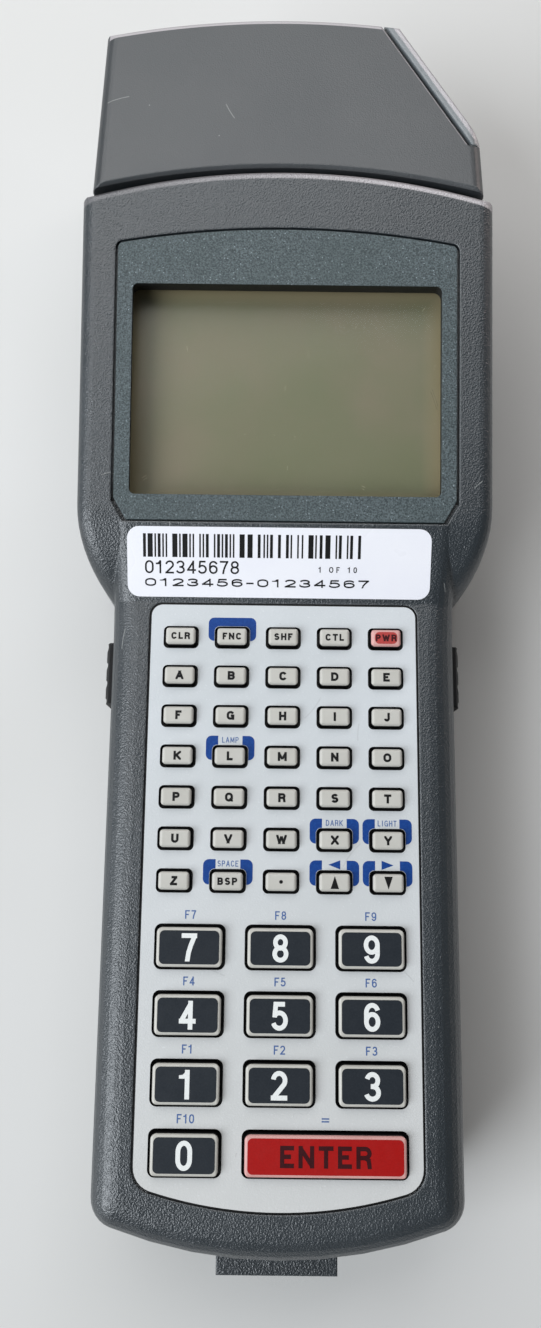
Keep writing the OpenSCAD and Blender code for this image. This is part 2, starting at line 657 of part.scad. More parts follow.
module battery_pack() color("#3a6ea8") placed() {
  z = bay_z + 0.2 + cell_d / 2;
  y = bay_y + bay_gap;
  for (i = [-1, 0, 1]) {
    along_y(y + 2, y + 2 + cell_l, cell_d / 2, i * (cell_d + 0.2), z);
    along_y(y + 2 + cell_l - 0.1, y + 3 + cell_l, 2.6, i * (cell_d + 0.2), z);
  }
  translate([-bay_w / 2 + bay_gap, y + 4, z - 2]) cube([bay_w - 2 * bay_gap, cell_l - 4, 4]);
}

module battery_door() color("#464c52") placed() {
  difference() {
    union() {
      translate([-door_w / 2, hinge_y, 0]) cube([door_w, door_end - hinge_y, door_t]);
      translate([-door_w / 2, hinge_y, hinge_z]) rotate([0, 90, 0])
        cylinder(r = barrel_r, h = door_w);
    }
    for (i = [0:4]) translate([0, door_end - 6 - 2.2 * i, -0.5]) rotate([0, 90, 0])
      cylinder(r = 0.9, h = door_w * 0.5, center = true);
  }
  hinge_pins(pin_r, door_w / 2 + pin_reach);
}

// Scan head: a drafted block with a spherical tip and joint, its window corner cut off
head_side = head_w / 2;
head_half_h = axis_z - 0.2;
head_top = [joint_y, axis_z + head_half_h]; // a point on the plane of the head's top
tip_y = head_tip - head_tip_r; // the tip sphere's centre
function head_ring(y) = let (
    d = (y - joint_y) * tan(head_draft), a = head_side - d - head_edge_r,
    b = head_half_h - d - head_edge_r)
  [for (q = [0:3], k = [0:ARC_STEPS - 1]) let (t = q * 90 + 90 * k / (ARC_STEPS - 1))
    [(q == 0 || q == 3 ? a : -a) + head_edge_r * cos(t), y,
     axis_z + (q < 2 ? b : -b) + head_edge_r * sin(t)]];
module head_form() {
  n = 4 * ARC_STEPS;
  ends = [joint_y - 10, head_tip + 5];
  intersection() {
    polyhedron([for (y = ends, p = head_ring(y)) p], concat(
      [[for (i = [n - 1:-1:0]) i], [for (i = [0:n - 1]) n + i]],
      [for (i = [0:n - 1]) [i, (i + 1) % n, n + (i + 1) % n, n + i]]), 2);
    translate([0, tip_y, axis_z]) sphere(head_tip_r, $fn = BIG_FN);
    rim_cone(head_tip_r, tip_y, head_top, -head_draft);
    upside_down() rim_cone(head_tip_r, tip_y, head_top, -head_draft);
  }
}
// The window's frame: y = 0 is its outer face, and x runs along it towards the side. It ends
// in a step on the side, and a groove parts it from the head.
scan_x = head_side - 0.8;
scan_y = head_tip - scan_cut;
scan_mid = 13.6; // from there to the pane's middle
pane_l = 19;
pane_h = 22;
pane_r = 2;
land = 2; // width of the head's raised seat round the pane
seat_y = -frame_t - frame_gap;
step_y = scan_y - 1.5;
step_gap = 0.25;
head_wall = 2.4;
module on_scan() {
  translate([scan_x, scan_y, axis_z]) rotate([0, 0, -scan_turn]) children();
}
module scan_slab(low, high) {
  on_scan() translate([-head_w, low, -head_w]) cube([2 * head_w, high - low, 2 * head_w]);
}
module above_step(gap) {
  translate([0, step_y - gap, 0]) cube([head_w, head_l, 2 * axis_z]);
}
module scan_opening(l, h, low, high) {
  on_scan() translate([-scan_mid, low, 0]) rotate([-90, 0, 0]) linear_extrude(high - low)
    round_rect(l, h, pane_r);
}
module head_space() {
  w = head_w - 2 * (head_wall + 1.2);
  h = 2 * (head_half_h - head_wall - 1.2);
  difference() {
    intersection() {
      translate([-w / 2, joint_y, axis_z - h / 2]) cube([w, head_l, h]);
      translate([0, tip_y, axis_z]) sphere(head_tip_r - head_wall, $fn = BIG_FN);
    }
    dome(dome_gap + head_wall);
    scan_slab(seat_y - head_wall, head_w);
    on_engine() translate([-engine_w / 2 - 1, -1, -engine_h / 2 - pedestal_h])
      cube([engine_w + 2, engine_w, pedestal_h]);
  }
}
// The swivel's neck is a tube for the cables, with a flange behind the split bearing
module head_housing() color("#565d63") placed() {
  neck_end = dome_y + dome_r - wall - 1;
  difference() {
    union() {
      difference() {
        head_form();
        dome(dome_gap);
        rim_cone(dome_r + dome_gap, dome_y, head_top, -head_draft, -1);
        upside_down() rim_cone(dome_r + dome_gap, dome_y, head_top, -head_draft, -1);
        head_space();
        intersection() {
          scan_slab(seat_y, head_w);
          above_step(step_gap);
        }
      }
      scan_opening(pane_l + 2 * land, pane_h + 2 * land, seat_y - 1, -frame_t);
      along_y(neck_end - 0.5, dome_y + dome_r + dome_gap + 1, neck_r);
      along_y(neck_end - 2.5, neck_end - 0.4, neck_r + 2);
    }
    scan_opening(pane_l - 2, pane_h - 2, seat_y - 12, 1);
    along_y(neck_end - 4, dome_y + dome_r + dome_gap + head_wall + 1, neck_r - 2.4);
  }
}
// Scan engine on its pedestal behind the window, with its own lens tunnel and mirror slot
engine_w = 16;
engine_l = 12;
engine_h = 12;
pedestal_h = 4;
module on_engine() {
  on_scan() translate([-scan_mid - 2, seat_y - head_wall - 0.4 - engine_l, 0]) children();
}
module scan_engine() color("#8a8d90") placed() {
  on_engine() difference() {
    translate([-engine_w / 2, 0, -engine_h / 2]) cube([engine_w, engine_l, engine_h]);
    translate([0, engine_l - 5, 0]) rotate([-90, 0, 0]) cylinder(r = engine_h / 2 - 2, h = 6);
    translate([-engine_w / 2 - 1, 2, engine_h / 2 - 3]) cube([engine_w + 2, 3, 4]);
  }
}
module scan_window() {
  color("#3c4247") placed() difference() {
    intersection() {
      head_form();
      scan_slab(-frame_t + 0.05, 0);
      above_step(0);
    }
    scan_opening(pane_l, pane_h, -frame_t - 1, 1);
  }
  color("#2a0d10") placed() scan_opening(pane_l - 0.1, pane_h - 0.1, -frame_t + 0.05, -0.9);
}

// Side trigger: a crowned pad with three ridges, and a flange inside the wall
crown_r = 10;
module trigger(side) {
  groove_r = 0.9;
  placed() translate([side * grip_w / 2, trigger_y, trigger_z]) mirror([side > 0 ? 0 : 1, 0, 0]) {
    difference() {
      intersection() {
        translate([-wall - 1, -trigger_l / 2, -trigger_h / 2])
          cube([wall + 1 + trigger_out, trigger_l, trigger_h]);
        rotate([90, 0, 0]) linear_extrude(trigger_l, center = true) {
          translate([-wall - 1, -trigger_h / 2]) square([wall + 1.6, trigger_h]);
          translate([trigger_out - crown_r, 0]) circle(crown_r);
        }
      }
      for (i = [-3, -1, 1, 3]) translate([trigger_out + 0.25, i * trigger_l / 6.6, 0])
        cylinder(r = groove_r, h = trigger_h + 2, center = true);
    }
    translate([-wall - trigger_back, -trigger_l / 2 - 1.2, -trigger_h / 2 - 0.6])
      cube([trigger_back - 0.2, trigger_l + 2.4, trigger_h + 1.2]);
  }
}
module trigger_left() color("#1b1c1e") trigger(-1);
module trigger_right() color("#1b1c1e") trigger(1);

module housing_screws() color("#b9bcbf") placed() {
  for (p = screw_spots) translate([p[0], p[1], screw_z]) {
    translate([0, 0, -screw_head_h]) cylinder(r = screw_head_r, h = screw_head_h);
    cylinder(r = screw_r, h = screw_l);
  }
}

front_housing();
back_housing();
keypad_overlay();
display_cover();
lcd_module();
main_board();
battery_pack();
battery_door();
head_housing();
scan_window();
scan_engine();
trigger_left();
trigger_right();
housing_screws();
key_enter();
for (r = [0:len(LETTER_ROWS) - 1], c = [0:letter_cols - 1])
  letter_key(r, c);
for (r = [0:len(DIGIT_ROWS) - 1], c = [0:len(DIGIT_ROWS[r]) - 1])
  digit_key(r, c);
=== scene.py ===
"""Looks of the barcode data terminal: materials for the CAD nodes, and the prints, legends,
stock label and screw faces that lie on them. Lengths are in metres, colours in screen levels."""

import math
import random

import bmesh
import bpy
from mathutils import Matrix, Vector
from mathutils.geometry import convex_hull_2d, delaunay_2d_cdt


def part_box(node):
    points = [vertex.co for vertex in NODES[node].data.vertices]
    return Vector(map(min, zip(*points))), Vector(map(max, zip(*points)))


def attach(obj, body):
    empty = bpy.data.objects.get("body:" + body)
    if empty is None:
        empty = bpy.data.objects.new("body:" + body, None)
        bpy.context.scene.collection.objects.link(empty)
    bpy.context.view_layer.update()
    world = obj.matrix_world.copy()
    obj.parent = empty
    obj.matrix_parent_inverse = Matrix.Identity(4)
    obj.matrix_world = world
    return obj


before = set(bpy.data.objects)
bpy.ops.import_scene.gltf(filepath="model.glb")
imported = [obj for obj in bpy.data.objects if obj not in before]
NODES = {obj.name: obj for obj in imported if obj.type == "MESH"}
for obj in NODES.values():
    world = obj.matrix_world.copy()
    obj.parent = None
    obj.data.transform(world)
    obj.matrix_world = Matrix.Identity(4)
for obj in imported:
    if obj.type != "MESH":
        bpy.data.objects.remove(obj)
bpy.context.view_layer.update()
MM = 0.001

# Places and slopes that the frame's boxes don't give: the slope below the display, and the
# display face
OVERLAY_LOW, OVERLAY_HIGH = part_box("keypad_overlay")
OVERLAY_TOP = OVERLAY_HIGH.z
RAMP_FOOT = Vector((0, 1.46 * MM, OVERLAY_TOP))
RAMP_TILT = math.radians(21.3)
FACE_FOOT = Vector((0, 14.56 * MM, 34.61 * MM))
FACE_TILT = math.radians(7.7)


# ---------------------------------------------------------------- colours and node graphs

def rgb(red, green, blue):
    """A colour as it shows on a screen, 0 to 255, as Blender's linear values."""
    def linear(v):
        v /= 255
        return v / 12.92 if v <= 0.04045 else ((v + 0.055) / 1.055) ** 2.4
    return (linear(red), linear(green), linear(blue), 1.0)


MIX_A, MIX_B, MIX_RESULT = 6, 7, 2  # a colour Mix node's sockets, whose names aren't unique
BEVEL_SAMPLES = 6
NOISE_LOW, NOISE_HIGH = 0.3, 0.7  # where most of a noise's values lie


class Graph:
    """A material's nodes. Sizes of patterns are in metres, in the object's coordinates."""

    def __init__(self, name, **sockets):
        self.material = bpy.data.materials.new(name)
        self.material.use_nodes = True
        self.nodes = self.material.node_tree.nodes
        self.links = self.material.node_tree.links
        self.shader = self.nodes["Principled BSDF"]
        for socket, value in sockets.items():
            self.set(self.shader, socket.replace("_", " "), value)
        self.place = self.nodes.new("ShaderNodeTexCoord").outputs["Object"]

    def set(self, node, socket, value):
        """Links value to a socket if it is another node's output, and writes it there if not."""
        target = node.inputs[socket]
        if isinstance(value, bpy.types.NodeSocket):
            self.links.new(value, target)
        elif value is not None:
            target.default_value = value

    def math(self, operation, a, b=None):
        node = self.nodes.new("ShaderNodeMath")
        node.operation = operation
        self.set(node, 0, a)
        self.set(node, 1, b)
        return node.outputs[0]

    def product(self, a, b):
        return self.math("MULTIPLY", a, b)

    def vector(self, operation, a, b=None):
        node = self.nodes.new("ShaderNodeVectorMath")
        node.operation = operation
        self.set(node, 0, a)
        self.set(node, 1, b)
        return node.outputs["Value" if operation in ("DOT_PRODUCT", "LENGTH") else "Vector"]

    def parts(self, vector):
        node = self.nodes.new("ShaderNodeSeparateXYZ")
        self.set(node, 0, vector)
        return node.outputs

    def ramp(self, value, low, high, a=0.0, b=1.0):
        """a below low, b above high, and a straight line between."""
        node = self.nodes.new("ShaderNodeMapRange")
        for i, v in enumerate((value, low, high, a, b)):
            self.set(node, i, v)
        return node.outputs[0]

    def vary(self, value, a, b):
        """From a where a noise is low to b where it is high."""
        return self.ramp(value, NOISE_LOW, NOISE_HIGH, a, b)

    def noise(self, size, detail=2, stretch=(1, 1, 1), roughness=0.5, shift=0.0):
        """Cloudy noise, 0 to 1. stretch makes it finer along an axis, and shift draws another."""
        node = self.nodes.new("ShaderNodeTexNoise")
        place = self.vector("ADD", self.vector("MULTIPLY", self.place, stretch), (shift,) * 3)
        self.set(node, "Vector", place)
        self.set(node, "Scale", 1 / size)
        self.set(node, "Detail", detail)
        self.set(node, "Roughness", roughness)
        return node.outputs["Fac"]

    def cells(self, size, feature="F1", shift=0.0):
        """A Voronoi node with cells of that size, and the place that it works on, in cells."""
        node = self.nodes.new("ShaderNodeTexVoronoi")
        node.feature = feature
        place = self.vector("SCALE", self.vector("ADD", self.place, (shift,) * 3))
        self.set(place.node, "Scale", 1 / size)
        self.set(node, "Vector", place)
        self.set(node, "Scale", 1.0)
        return node, place

    def mix(self, share, a, b):
        node = self.nodes.new("ShaderNodeMix")
        node.data_type = "RGBA"
        self.set(node, 0, share)
        self.set(node, MIX_A, a)
        self.set(node, MIX_B, b)
        return node.outputs[MIX_RESULT]

    def blend(self, value, a, b):
        """From colour a where a noise is low to colour b where it is high."""
        return self.mix(self.ramp(value, NOISE_LOW, NOISE_HIGH), a, b)

    def over(self, base, colour, mask, share):
        """The base with a colour over it, as strong as share, where mask is 1."""
        return self.mix(self.product(mask, share), base, colour)

    def specks(self, size, share, radius, shift=0.0):
        """1 in small dots, in a share of the cells of that size. radius is a share of size."""
        node, _ = self.cells(size, shift=shift)
        chance = self.parts(node.outputs["Color"])[0]
        dot = self.ramp(node.outputs["Distance"], radius * 0.6, radius, 1, 0)
        return self.product(dot, self.math("GREATER_THAN", chance, 1 - share))

    def scratches(self, size, share, length, width, shift=0.0):
        """1 on short, slightly bent scratches at any angle, in a share of the cells of that
        size. length and width are shares of size."""
        node, place = self.cells(size, shift=shift)
        chance = self.parts(node.outputs["Color"])
        offset = self.parts(self.vector("SUBTRACT", place, node.outputs["Position"]))
        turn = self.product(chance[0], math.tau)
        cos, sin = self.math("COSINE", turn), self.math("SINE", turn)
        along = self.math("ADD", self.product(offset[0], cos), self.product(offset[1], sin))
        across = self.math("SUBTRACT", self.product(offset[1], cos),
                           self.product(offset[0], sin))
        bend = self.product(self.product(along, along), 0.5)
        across = self.math("ABSOLUTE", self.math("ADD", across, bend))
        thin = self.ramp(across, width * 0.4, width, 1, 0)
        reach = self.product(chance[1], length)
        short = self.math("LESS_THAN", self.math("ABSOLUTE", along), reach)
        found = self.math("GREATER_THAN", chance[2], 1 - share)
        return self.product(self.product(thin, short), found)

    def total(self, *terms):
        """The sum of (value, weight) pairs."""
        result = None
        for value, weight in terms:
            part = self.product(value, weight)
            result = part if result is None else self.math("ADD", result, part)
        return result

    def bump(self, height, distance, normal=None):
        node = self.nodes.new("ShaderNodeBump")
        self.set(node, "Distance", distance)
        self.set(node, "Height", height)
        self.set(node, "Normal", normal)
        return node.outputs[0]

    def normal(self):
        return self.nodes.new("ShaderNodeNewGeometry").outputs["Normal"]

    def soft_edges(self, radius):
        """The normal with the edges rounded off by radius."""
        node = self.nodes.new("ShaderNodeBevel")
        node.samples = BEVEL_SAMPLES
        self.set(node, "Radius", radius)
        return node.outputs[0]

    def finish(self, colour=None, roughness=None, normal=None):
        self.set(self.shader, "Base Color", colour)
        self.set(self.shader, "Roughness", roughness)
        self.set(self.shader, "Normal", normal)
        return self.material


# ---------------------------------------------------------------- materials

def moulded(name, colour, worn, grain, depth, gloss, painted_highlight_rim):
    """Grained ABS: spark-eroded grain, soft blotches, edges lightened partly as wear and partly as
    a painted highlight, short scratches and dust. The last argument gives a graph's mask of the
    rims that get a painted highlight."""
    g = Graph(name, Specular_IOR_Level=1.0)
    leather, _ = g.cells(grain, "SMOOTH_F1")
    ripple = g.noise(grain * 0.8)
    blotch = g.noise(0.028, detail=3, roughness=0.6)
    marks = g.scratches(0.016, share=0.35, length=0.17, width=0.006)
    dust = g.specks(0.0032, share=0.2, radius=0.045, shift=3.1)
    soft = g.soft_edges(0.0005)
    edge = g.math("SUBTRACT", 1.0, g.vector("DOT_PRODUCT", soft, g.normal()))
    # Edges, lightened below partly as wear and partly as a painted highlight
    edge_wear_and_highlight = g.product(g.ramp(edge, 0.02, 0.2), g.ramp(ripple, 0.35, 0.65, 0.35, 1.0))
    painted_highlight = painted_highlight_rim(g)
    base = g.mix(g.ramp(blotch, 0.35, 0.7), colour, worn)
    base = g.over(base, rgb(160, 162, 163), edge_wear_and_highlight, 0.4)
    # Painted highlight: the rims of the mask take a pale colour
    base = g.mix(painted_highlight, base, rgb(184, 178, 180))
    base = g.over(base, rgb(168, 170, 168), g.math("MAXIMUM", marks, dust), 0.5)
    height = g.total((leather.outputs["Distance"], 0.8), (ripple, 1.0), (marks, -0.4))
    rough = g.total((g.vary(blotch, gloss, gloss + 0.1), 1.0), (edge_wear_and_highlight, -0.1), (painted_highlight, -0.12))
    return g.finish(base, rough, g.bump(height, depth, soft))


def sheet_plastic():
    """The keypad overlay: a satin printed sheet with a velvet texture, specks and smears, and
    warmer towards its foot."""
    g = Graph("overlay_sheet")
    velvet = g.noise(0.00028)
    cloud = g.noise(0.022, detail=3, shift=5.0)
    warm = g.ramp(g.parts(g.place)[1], -0.105, -0.02, 1, 0)
    grime = g.specks(0.0055, share=0.16, radius=0.035, shift=1.7)
    smear = g.scratches(0.013, share=0.3, length=0.2, width=0.012, shift=2.2)
    base = g.mix(g.ramp(cloud, 0.3, 0.75), rgb(208, 212, 215), rgb(197, 201, 203))
    base = g.over(base, rgb(203, 200, 194), warm, 0.6)
    base = g.over(base, rgb(95, 92, 88), grime, 0.5)
    base = g.over(base, rgb(150, 150, 150), smear, 0.22)
    base = g.mix(g.ramp(velvet, 0.62, 0.8, 0, 0.35), base, rgb(236, 238, 240))
    return g.finish(base, g.vary(cloud, 0.42, 0.52), g.bump(velvet, 0.00003))


def painted_shade_black():
    """Painted shade for the sides of the openings: black, with the marks of the cutter."""
    g = Graph("painted_shade_black")
    cut = g.noise(0.0005, stretch=(1, 1, 4))
    base = g.mix(g.ramp(cut, 0.35, 0.7), rgb(13, 13, 14), rgb(27, 28, 29))
    return g.finish(base, g.vary(cut, 0.5, 0.65), g.bump(cut, 0.00003))


def speckled_bezel():
    """The bezel: a dark green-grey sheet with a fine sparkling texture."""
    g = Graph("bezel_sheet")
    coarse = g.noise(0.0003, detail=3, roughness=0.75)
    blotch = g.noise(0.012)
    sparkle = g.specks(0.0006, share=0.3, radius=0.22, shift=0.4)
    base = g.mix(g.ramp(coarse, 0.4, 0.62), rgb(38, 49, 52), rgb(96, 108, 111))
    base = g.over(base, rgb(160, 174, 180), sparkle, 0.7)
    base = g.mix(g.ramp(blotch, 0.4, 0.7, 0, 0.3), base, rgb(54, 68, 68))
    return g.finish(base, g.vary(coarse, 0.4, 0.58),
                    g.bump(coarse, 0.0001, g.soft_edges(0.00025)))


def rim_mask(g, node, across, along):
    """0 in a node's middle and 1 at its rim. across and along hold the distances from the
    middle between which it grows."""
    middle = (sum(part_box(node), Vector()) / 2).to_tuple()
    x, y, _ = g.parts(g.vector("ABSOLUTE", g.vector("SUBTRACT", g.place, middle)))
    return g.math("MAXIMUM", g.ramp(x, *across), g.ramp(y, *along))


def display_panel():
    """The olive liquid-crystal panel, warmer towards its edges, where it is also painted lighter
    to lift the shade that the opening's walls cast.
    """
    g = Graph("display_panel")
    cloud = g.noise(0.014, detail=3, roughness=0.55)
    tint = g.noise(0.02, shift=8.0)
    rim = rim_mask(g, "lcd_module", (0.0245, 0.0278), (0.0165, 0.0192))
    base = g.blend(cloud, rgb(120, 119, 92), rgb(131, 123, 100))
    base = g.mix(g.ramp(tint, 0.4, 0.7, 0, 0.6), base, rgb(114, 119, 88))
    # Edges lighter and warmer: partly the panel's border, partly painted light against the shade
    # of the opening's walls.
    base = g.over(base, rgb(150, 138, 106), rim, 0.8)
    return g.finish(base, g.vary(cloud, 0.3, 0.42), g.bump(g.noise(0.0004, detail=1), 0.00001))


def clear_pane():
    """The clear cover over the display: almost invisible, with dust and hair scratches."""
    g = Graph("display_pane")
    near_rim = rim_mask(g, "display_cover", (0.021, 0.0272), (0.012, 0.0205))
    dust = g.specks(0.003, share=0.22, radius=0.028, shift=0.9)
    rim_dust = g.product(g.specks(0.0013, share=0.4, radius=0.06, shift=2.9), near_rim)
    hairs = g.scratches(0.0062, share=0.3, length=0.075, width=0.0085, shift=4.0)
    long_hairs = g.scratches(0.026, share=0.3, length=0.26, width=0.002, shift=6.0)
    seen = g.math("MAXIMUM", g.math("MAXIMUM", dust, hairs), rim_dust)
    seen = g.math("MAXIMUM", seen, g.product(long_hairs, 0.35))
    g.set(g.shader, "Alpha", g.ramp(seen, 0, 1, 0.05, 0.8))
    base = g.mix(seen, rgb(70, 74, 72), rgb(208, 202, 170))
    return g.finish(base, g.ramp(seen, 0, 1, 0.09, 0.6))


# Below this a key's sides are painted black, partly as the shade in the gap round the key and
# partly as the key mat's black base.
SHADED_SKIRT_TOP = OVERLAY_TOP + 0.9 * MM  # a key's sides are black up to here
SHADED_SKIRT_BLUR = 0.05 * MM


def key_plastic(name, colour, shade, side_and_spot_colour):
    """Silicone key: satin, with spots of soil, darker on its sides, and painted black low on them,
    partly as the shade in the gap round it and partly as the key mat's black base.
    """
    g = Graph(name)
    cloud = g.noise(0.006, detail=3)
    spots = g.specks(0.0028, share=0.1, radius=0.04, shift=2.0)
    shaded_skirt = g.ramp(g.parts(g.place)[2], SHADED_SKIRT_TOP - SHADED_SKIRT_BLUR, SHADED_SKIRT_TOP + SHADED_SKIRT_BLUR, 1, 0)
    base = g.mix(g.ramp(cloud, 0.3, 0.75), colour, shade)
    # The sides are mixed towards the darker colour, by how upright they stand.
    base = g.mix(g.ramp(g.parts(g.normal())[2], 0.1, 0.8, 0.3, 0.0), base, side_and_spot_colour)
    base = g.over(base, side_and_spot_colour, spots, 0.4)
    # Painted shade below the skirt's top: black, partly standing for the key mat's black base.
    base = g.mix(shaded_skirt, base, rgb(15, 15, 16))
    return g.finish(base, g.vary(cloud, 0.38, 0.5),
                    g.bump(g.noise(0.0005), 0.00002, g.soft_edges(0.0002)))


def print_ink(name, colour, other, gloss=0.45):
    """Printed ink with a slightly uneven, speckled film."""
    g = Graph(name, Specular_IOR_Level=0.25)
    film = g.noise(0.0003)
    base = g.mix(g.ramp(film, 0.4, 0.72, 0, 0.6), colour, other)
    return g.finish(base, g.vary(g.noise(0.0015), gloss, gloss + 0.1), g.bump(film, 0.00001))


def paper_label():
    """Glossy white sticker with a few faint stains."""
    g = Graph("sticker")
    cloud = g.noise(0.012, detail=3)
    fibre = g.noise(0.0004, stretch=(1, 4, 1))
    stain = g.specks(0.009, share=0.22, radius=0.09, shift=0.31)
    base = g.mix(g.ramp(cloud, 0.35, 0.7), rgb(243, 243, 248), rgb(238, 238, 245))
    base = g.over(base, rgb(206, 198, 176), stain, 0.25)
    return g.finish(base, g.vary(cloud, 0.25, 0.36), g.bump(fibre, 0.00001))


def ribbed_rubber():
    """The triggers' black rubber."""
    g = Graph("trigger_rubber", Specular_IOR_Level=0.25)
    fine = g.noise(0.0003, detail=3)
    cloud = g.noise(0.005)
    return g.finish(g.blend(cloud, rgb(15, 15, 16), rgb(28, 28, 30)), g.vary(cloud, 0.55, 0.7),
                    g.bump(fine, 0.00004, g.soft_edges(0.0003)))


def plated_steel():
    """The screws' plating, with turning marks."""
    g = Graph("plated_steel", Metallic=1.0)
    turned = g.noise(0.0004, detail=3, stretch=(1, 1, 6))
    base = g.blend(g.noise(0.002), rgb(176, 176, 172), rgb(142, 141, 136))
    return g.finish(base, g.vary(turned, 0.25, 0.42), g.bump(turned, 0.00002))


def circuit_board():
    """Green board with paler tracks and tinned pads."""
    g = Graph("circuit_board")
    tracks = g.noise(0.0012, detail=1, stretch=(6, 1, 1))
    pads = g.specks(0.003, share=0.5, radius=0.16)
    base = g.mix(g.ramp(tracks, 0.48, 0.54), rgb(22, 78, 44), rgb(42, 108, 62))
    base = g.mix(pads, base, rgb(190, 186, 160))
    return g.finish(base, g.ramp(tracks, 0.4, 0.6, 0.3, 0.45), g.bump(tracks, 0.00004))


CELL_END = 2.2 * MM  # length of bare metal at each end of the cells


def cell_wrap():
    """Blue shrink wrap over the cells, with bare metal at the two ends."""
    g = Graph("cell_wrap")
    low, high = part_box("battery_pack")
    along = g.parts(g.place)[1]
    ends = g.math("ADD", g.math("LESS_THAN", along, low.y + CELL_END),
                  g.math("GREATER_THAN", along, high.y - CELL_END))
    wrinkle = g.noise(0.003, detail=3, stretch=(1, 0.3, 1))
    base = g.blend(wrinkle, rgb(28, 66, 124), rgb(40, 84, 148))
    base = g.mix(ends, base, rgb(172, 170, 162))
    g.set(g.shader, "Metallic", ends)
    return g.finish(base, g.vary(wrinkle, 0.22, 0.34), g.bump(wrinkle, 0.0002))


def cast_metal():
    """The scan engine's cast body."""
    g = Graph("cast_metal", Metallic=1.0)
    skin = g.noise(0.0006, detail=3)
    base = g.blend(skin, rgb(120, 122, 124), rgb(152, 153, 154))
    return g.finish(base, g.vary(skin, 0.4, 0.55), g.bump(skin, 0.00004))


def red_filter():
    """The scan window's pane: a deep red filter that looks almost black."""
    g = Graph("red_filter", Specular_IOR_Level=0.6)
    hairs = g.scratches(0.009, share=0.3, length=0.14, width=0.01, shift=1.0)
    base = g.blend(g.noise(0.01), rgb(58, 6, 10), rgb(38, 4, 8))
    base = g.over(base, rgb(150, 120, 118), hairs, 0.3)
    return g.finish(base, g.ramp(hairs, 0, 1, 0.06, 0.4))


def pale_floor():
    g = Graph("pale_floor", Roughness=0.85)
    return g.finish(g.blend(g.noise(0.09), rgb(211, 210, 207), rgb(217, 216, 214)))


# ---------------------------------------------------------------- flat shapes and lettering

CORNER_STEP = 15  # degrees between the points of a rounded corner


def round_rect(width, length, radius, cy=0.0):
    """Outline of a rounded rectangle, anticlockwise, with its middle at (0, cy)."""
    points = []
    for quarter, (sx, sy) in enumerate(((1, 1), (-1, 1), (-1, -1), (1, -1))):
        for degrees in range(0, 91, CORNER_STEP):
            a = math.radians(90 * quarter + degrees)
            points.append((sx * (width / 2 - radius) + radius * math.cos(a),
                           cy + sy * (length / 2 - radius) + radius * math.sin(a)))
    return points


def inside(outline, point):
    """True if the point is inside the closed outline."""
    x, y = point
    found = False
    for (ax, ay), (bx, by) in zip(outline, outline[1:] + outline[:1]):
        if (ay > y) != (by > y) and x < ax + (y - ay) * (bx - ax) / (by - ay):
            found = not found
    return found


def triangulated(outlines, tolerance):
    """Points and triangles of overlapping outlines, and for each triangle the outlines that it
    lies in."""
    points, faces = [], []
    for outline in outlines:
        faces.append(list(range(len(points), len(points) + len(outline))))
        points += [Vector(p) for p in outline]
    found = delaunay_2d_cdt(points, [], faces, 0, tolerance, True)
    return found[0], found[2], found[5]


def drop_loose(mesh):
    bmesh.ops.delete(mesh, geom=[v for v in mesh.verts if not v.link_faces], context="VERTS")


def add_walls(mesh):
    """Walls from a sheet's rim down to z = 0, where it stays open."""
    rim = [e for e in mesh.edges if e.is_boundary]
    for v in bmesh.ops.extrude_edge_only(mesh, edges=rim)["geom"]:
        if isinstance(v, bmesh.types.BMVert):
            v.co.z = 0
    bmesh.ops.recalc_face_normals(mesh, faces=mesh.faces[:])


SHEET_TOLERANCE = 1e-8


def sheet(outlines, thickness, keep=None):
    """A thin sheet inside the outlines, of the triangles whose middles pass keep."""
    places, triangles, _ = triangulated(outlines, SHEET_TOLERANCE)
    mesh = bmesh.new()
    verts = [mesh.verts.new((p.x, p.y, thickness)) for p in places]
    for face in triangles:
        if keep is None or keep(sum((places[i] for i in face), Vector((0, 0))) / len(face)):
            mesh.faces.new([verts[i] for i in face])
    drop_loose(mesh)
    bmesh.ops.recalc_face_normals(mesh, faces=mesh.faces[:])
    if sum(f.normal.z for f in mesh.faces) < 0:
        bmesh.ops.reverse_faces(mesh, faces=mesh.faces[:])
    add_walls(mesh)
    return mesh


def piece(name, mesh, place, material, body="body"):
    """Makes an object of the bmesh at the given place, and lets it ride on a body."""
    mesh.transform(place)
    data = bpy.data.meshes.new(name)
    mesh.to_mesh(data)
    mesh.free()
    data.materials.append(material)
    obj = bpy.data.objects.new(name, data)
    bpy.context.scene.collection.objects.link(obj)
    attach(obj, body)


def joined(meshes):
    """One bmesh of several."""
    whole = bmesh.new()
    for mesh in meshes:
        data = bpy.data.meshes.new("part")
        mesh.to_mesh(data)
        mesh.free()
        whole.from_mesh(data)
        bpy.data.meshes.remove(data)
    return whole


BOW_STEP = 12  # degrees between the points of a glyph's arc


def bow(cx, cy, rx, ry, start, end):
    """Points on an ellipse's arc, between two angles in degrees."""
    steps = max(3, round(abs(end - start) / BOW_STEP))
    angles = [math.radians(start + (end - start) * i / steps) for i in range(steps + 1)]
    return [(cx + rx * math.cos(a), cy + ry * math.sin(a)) for a in angles]


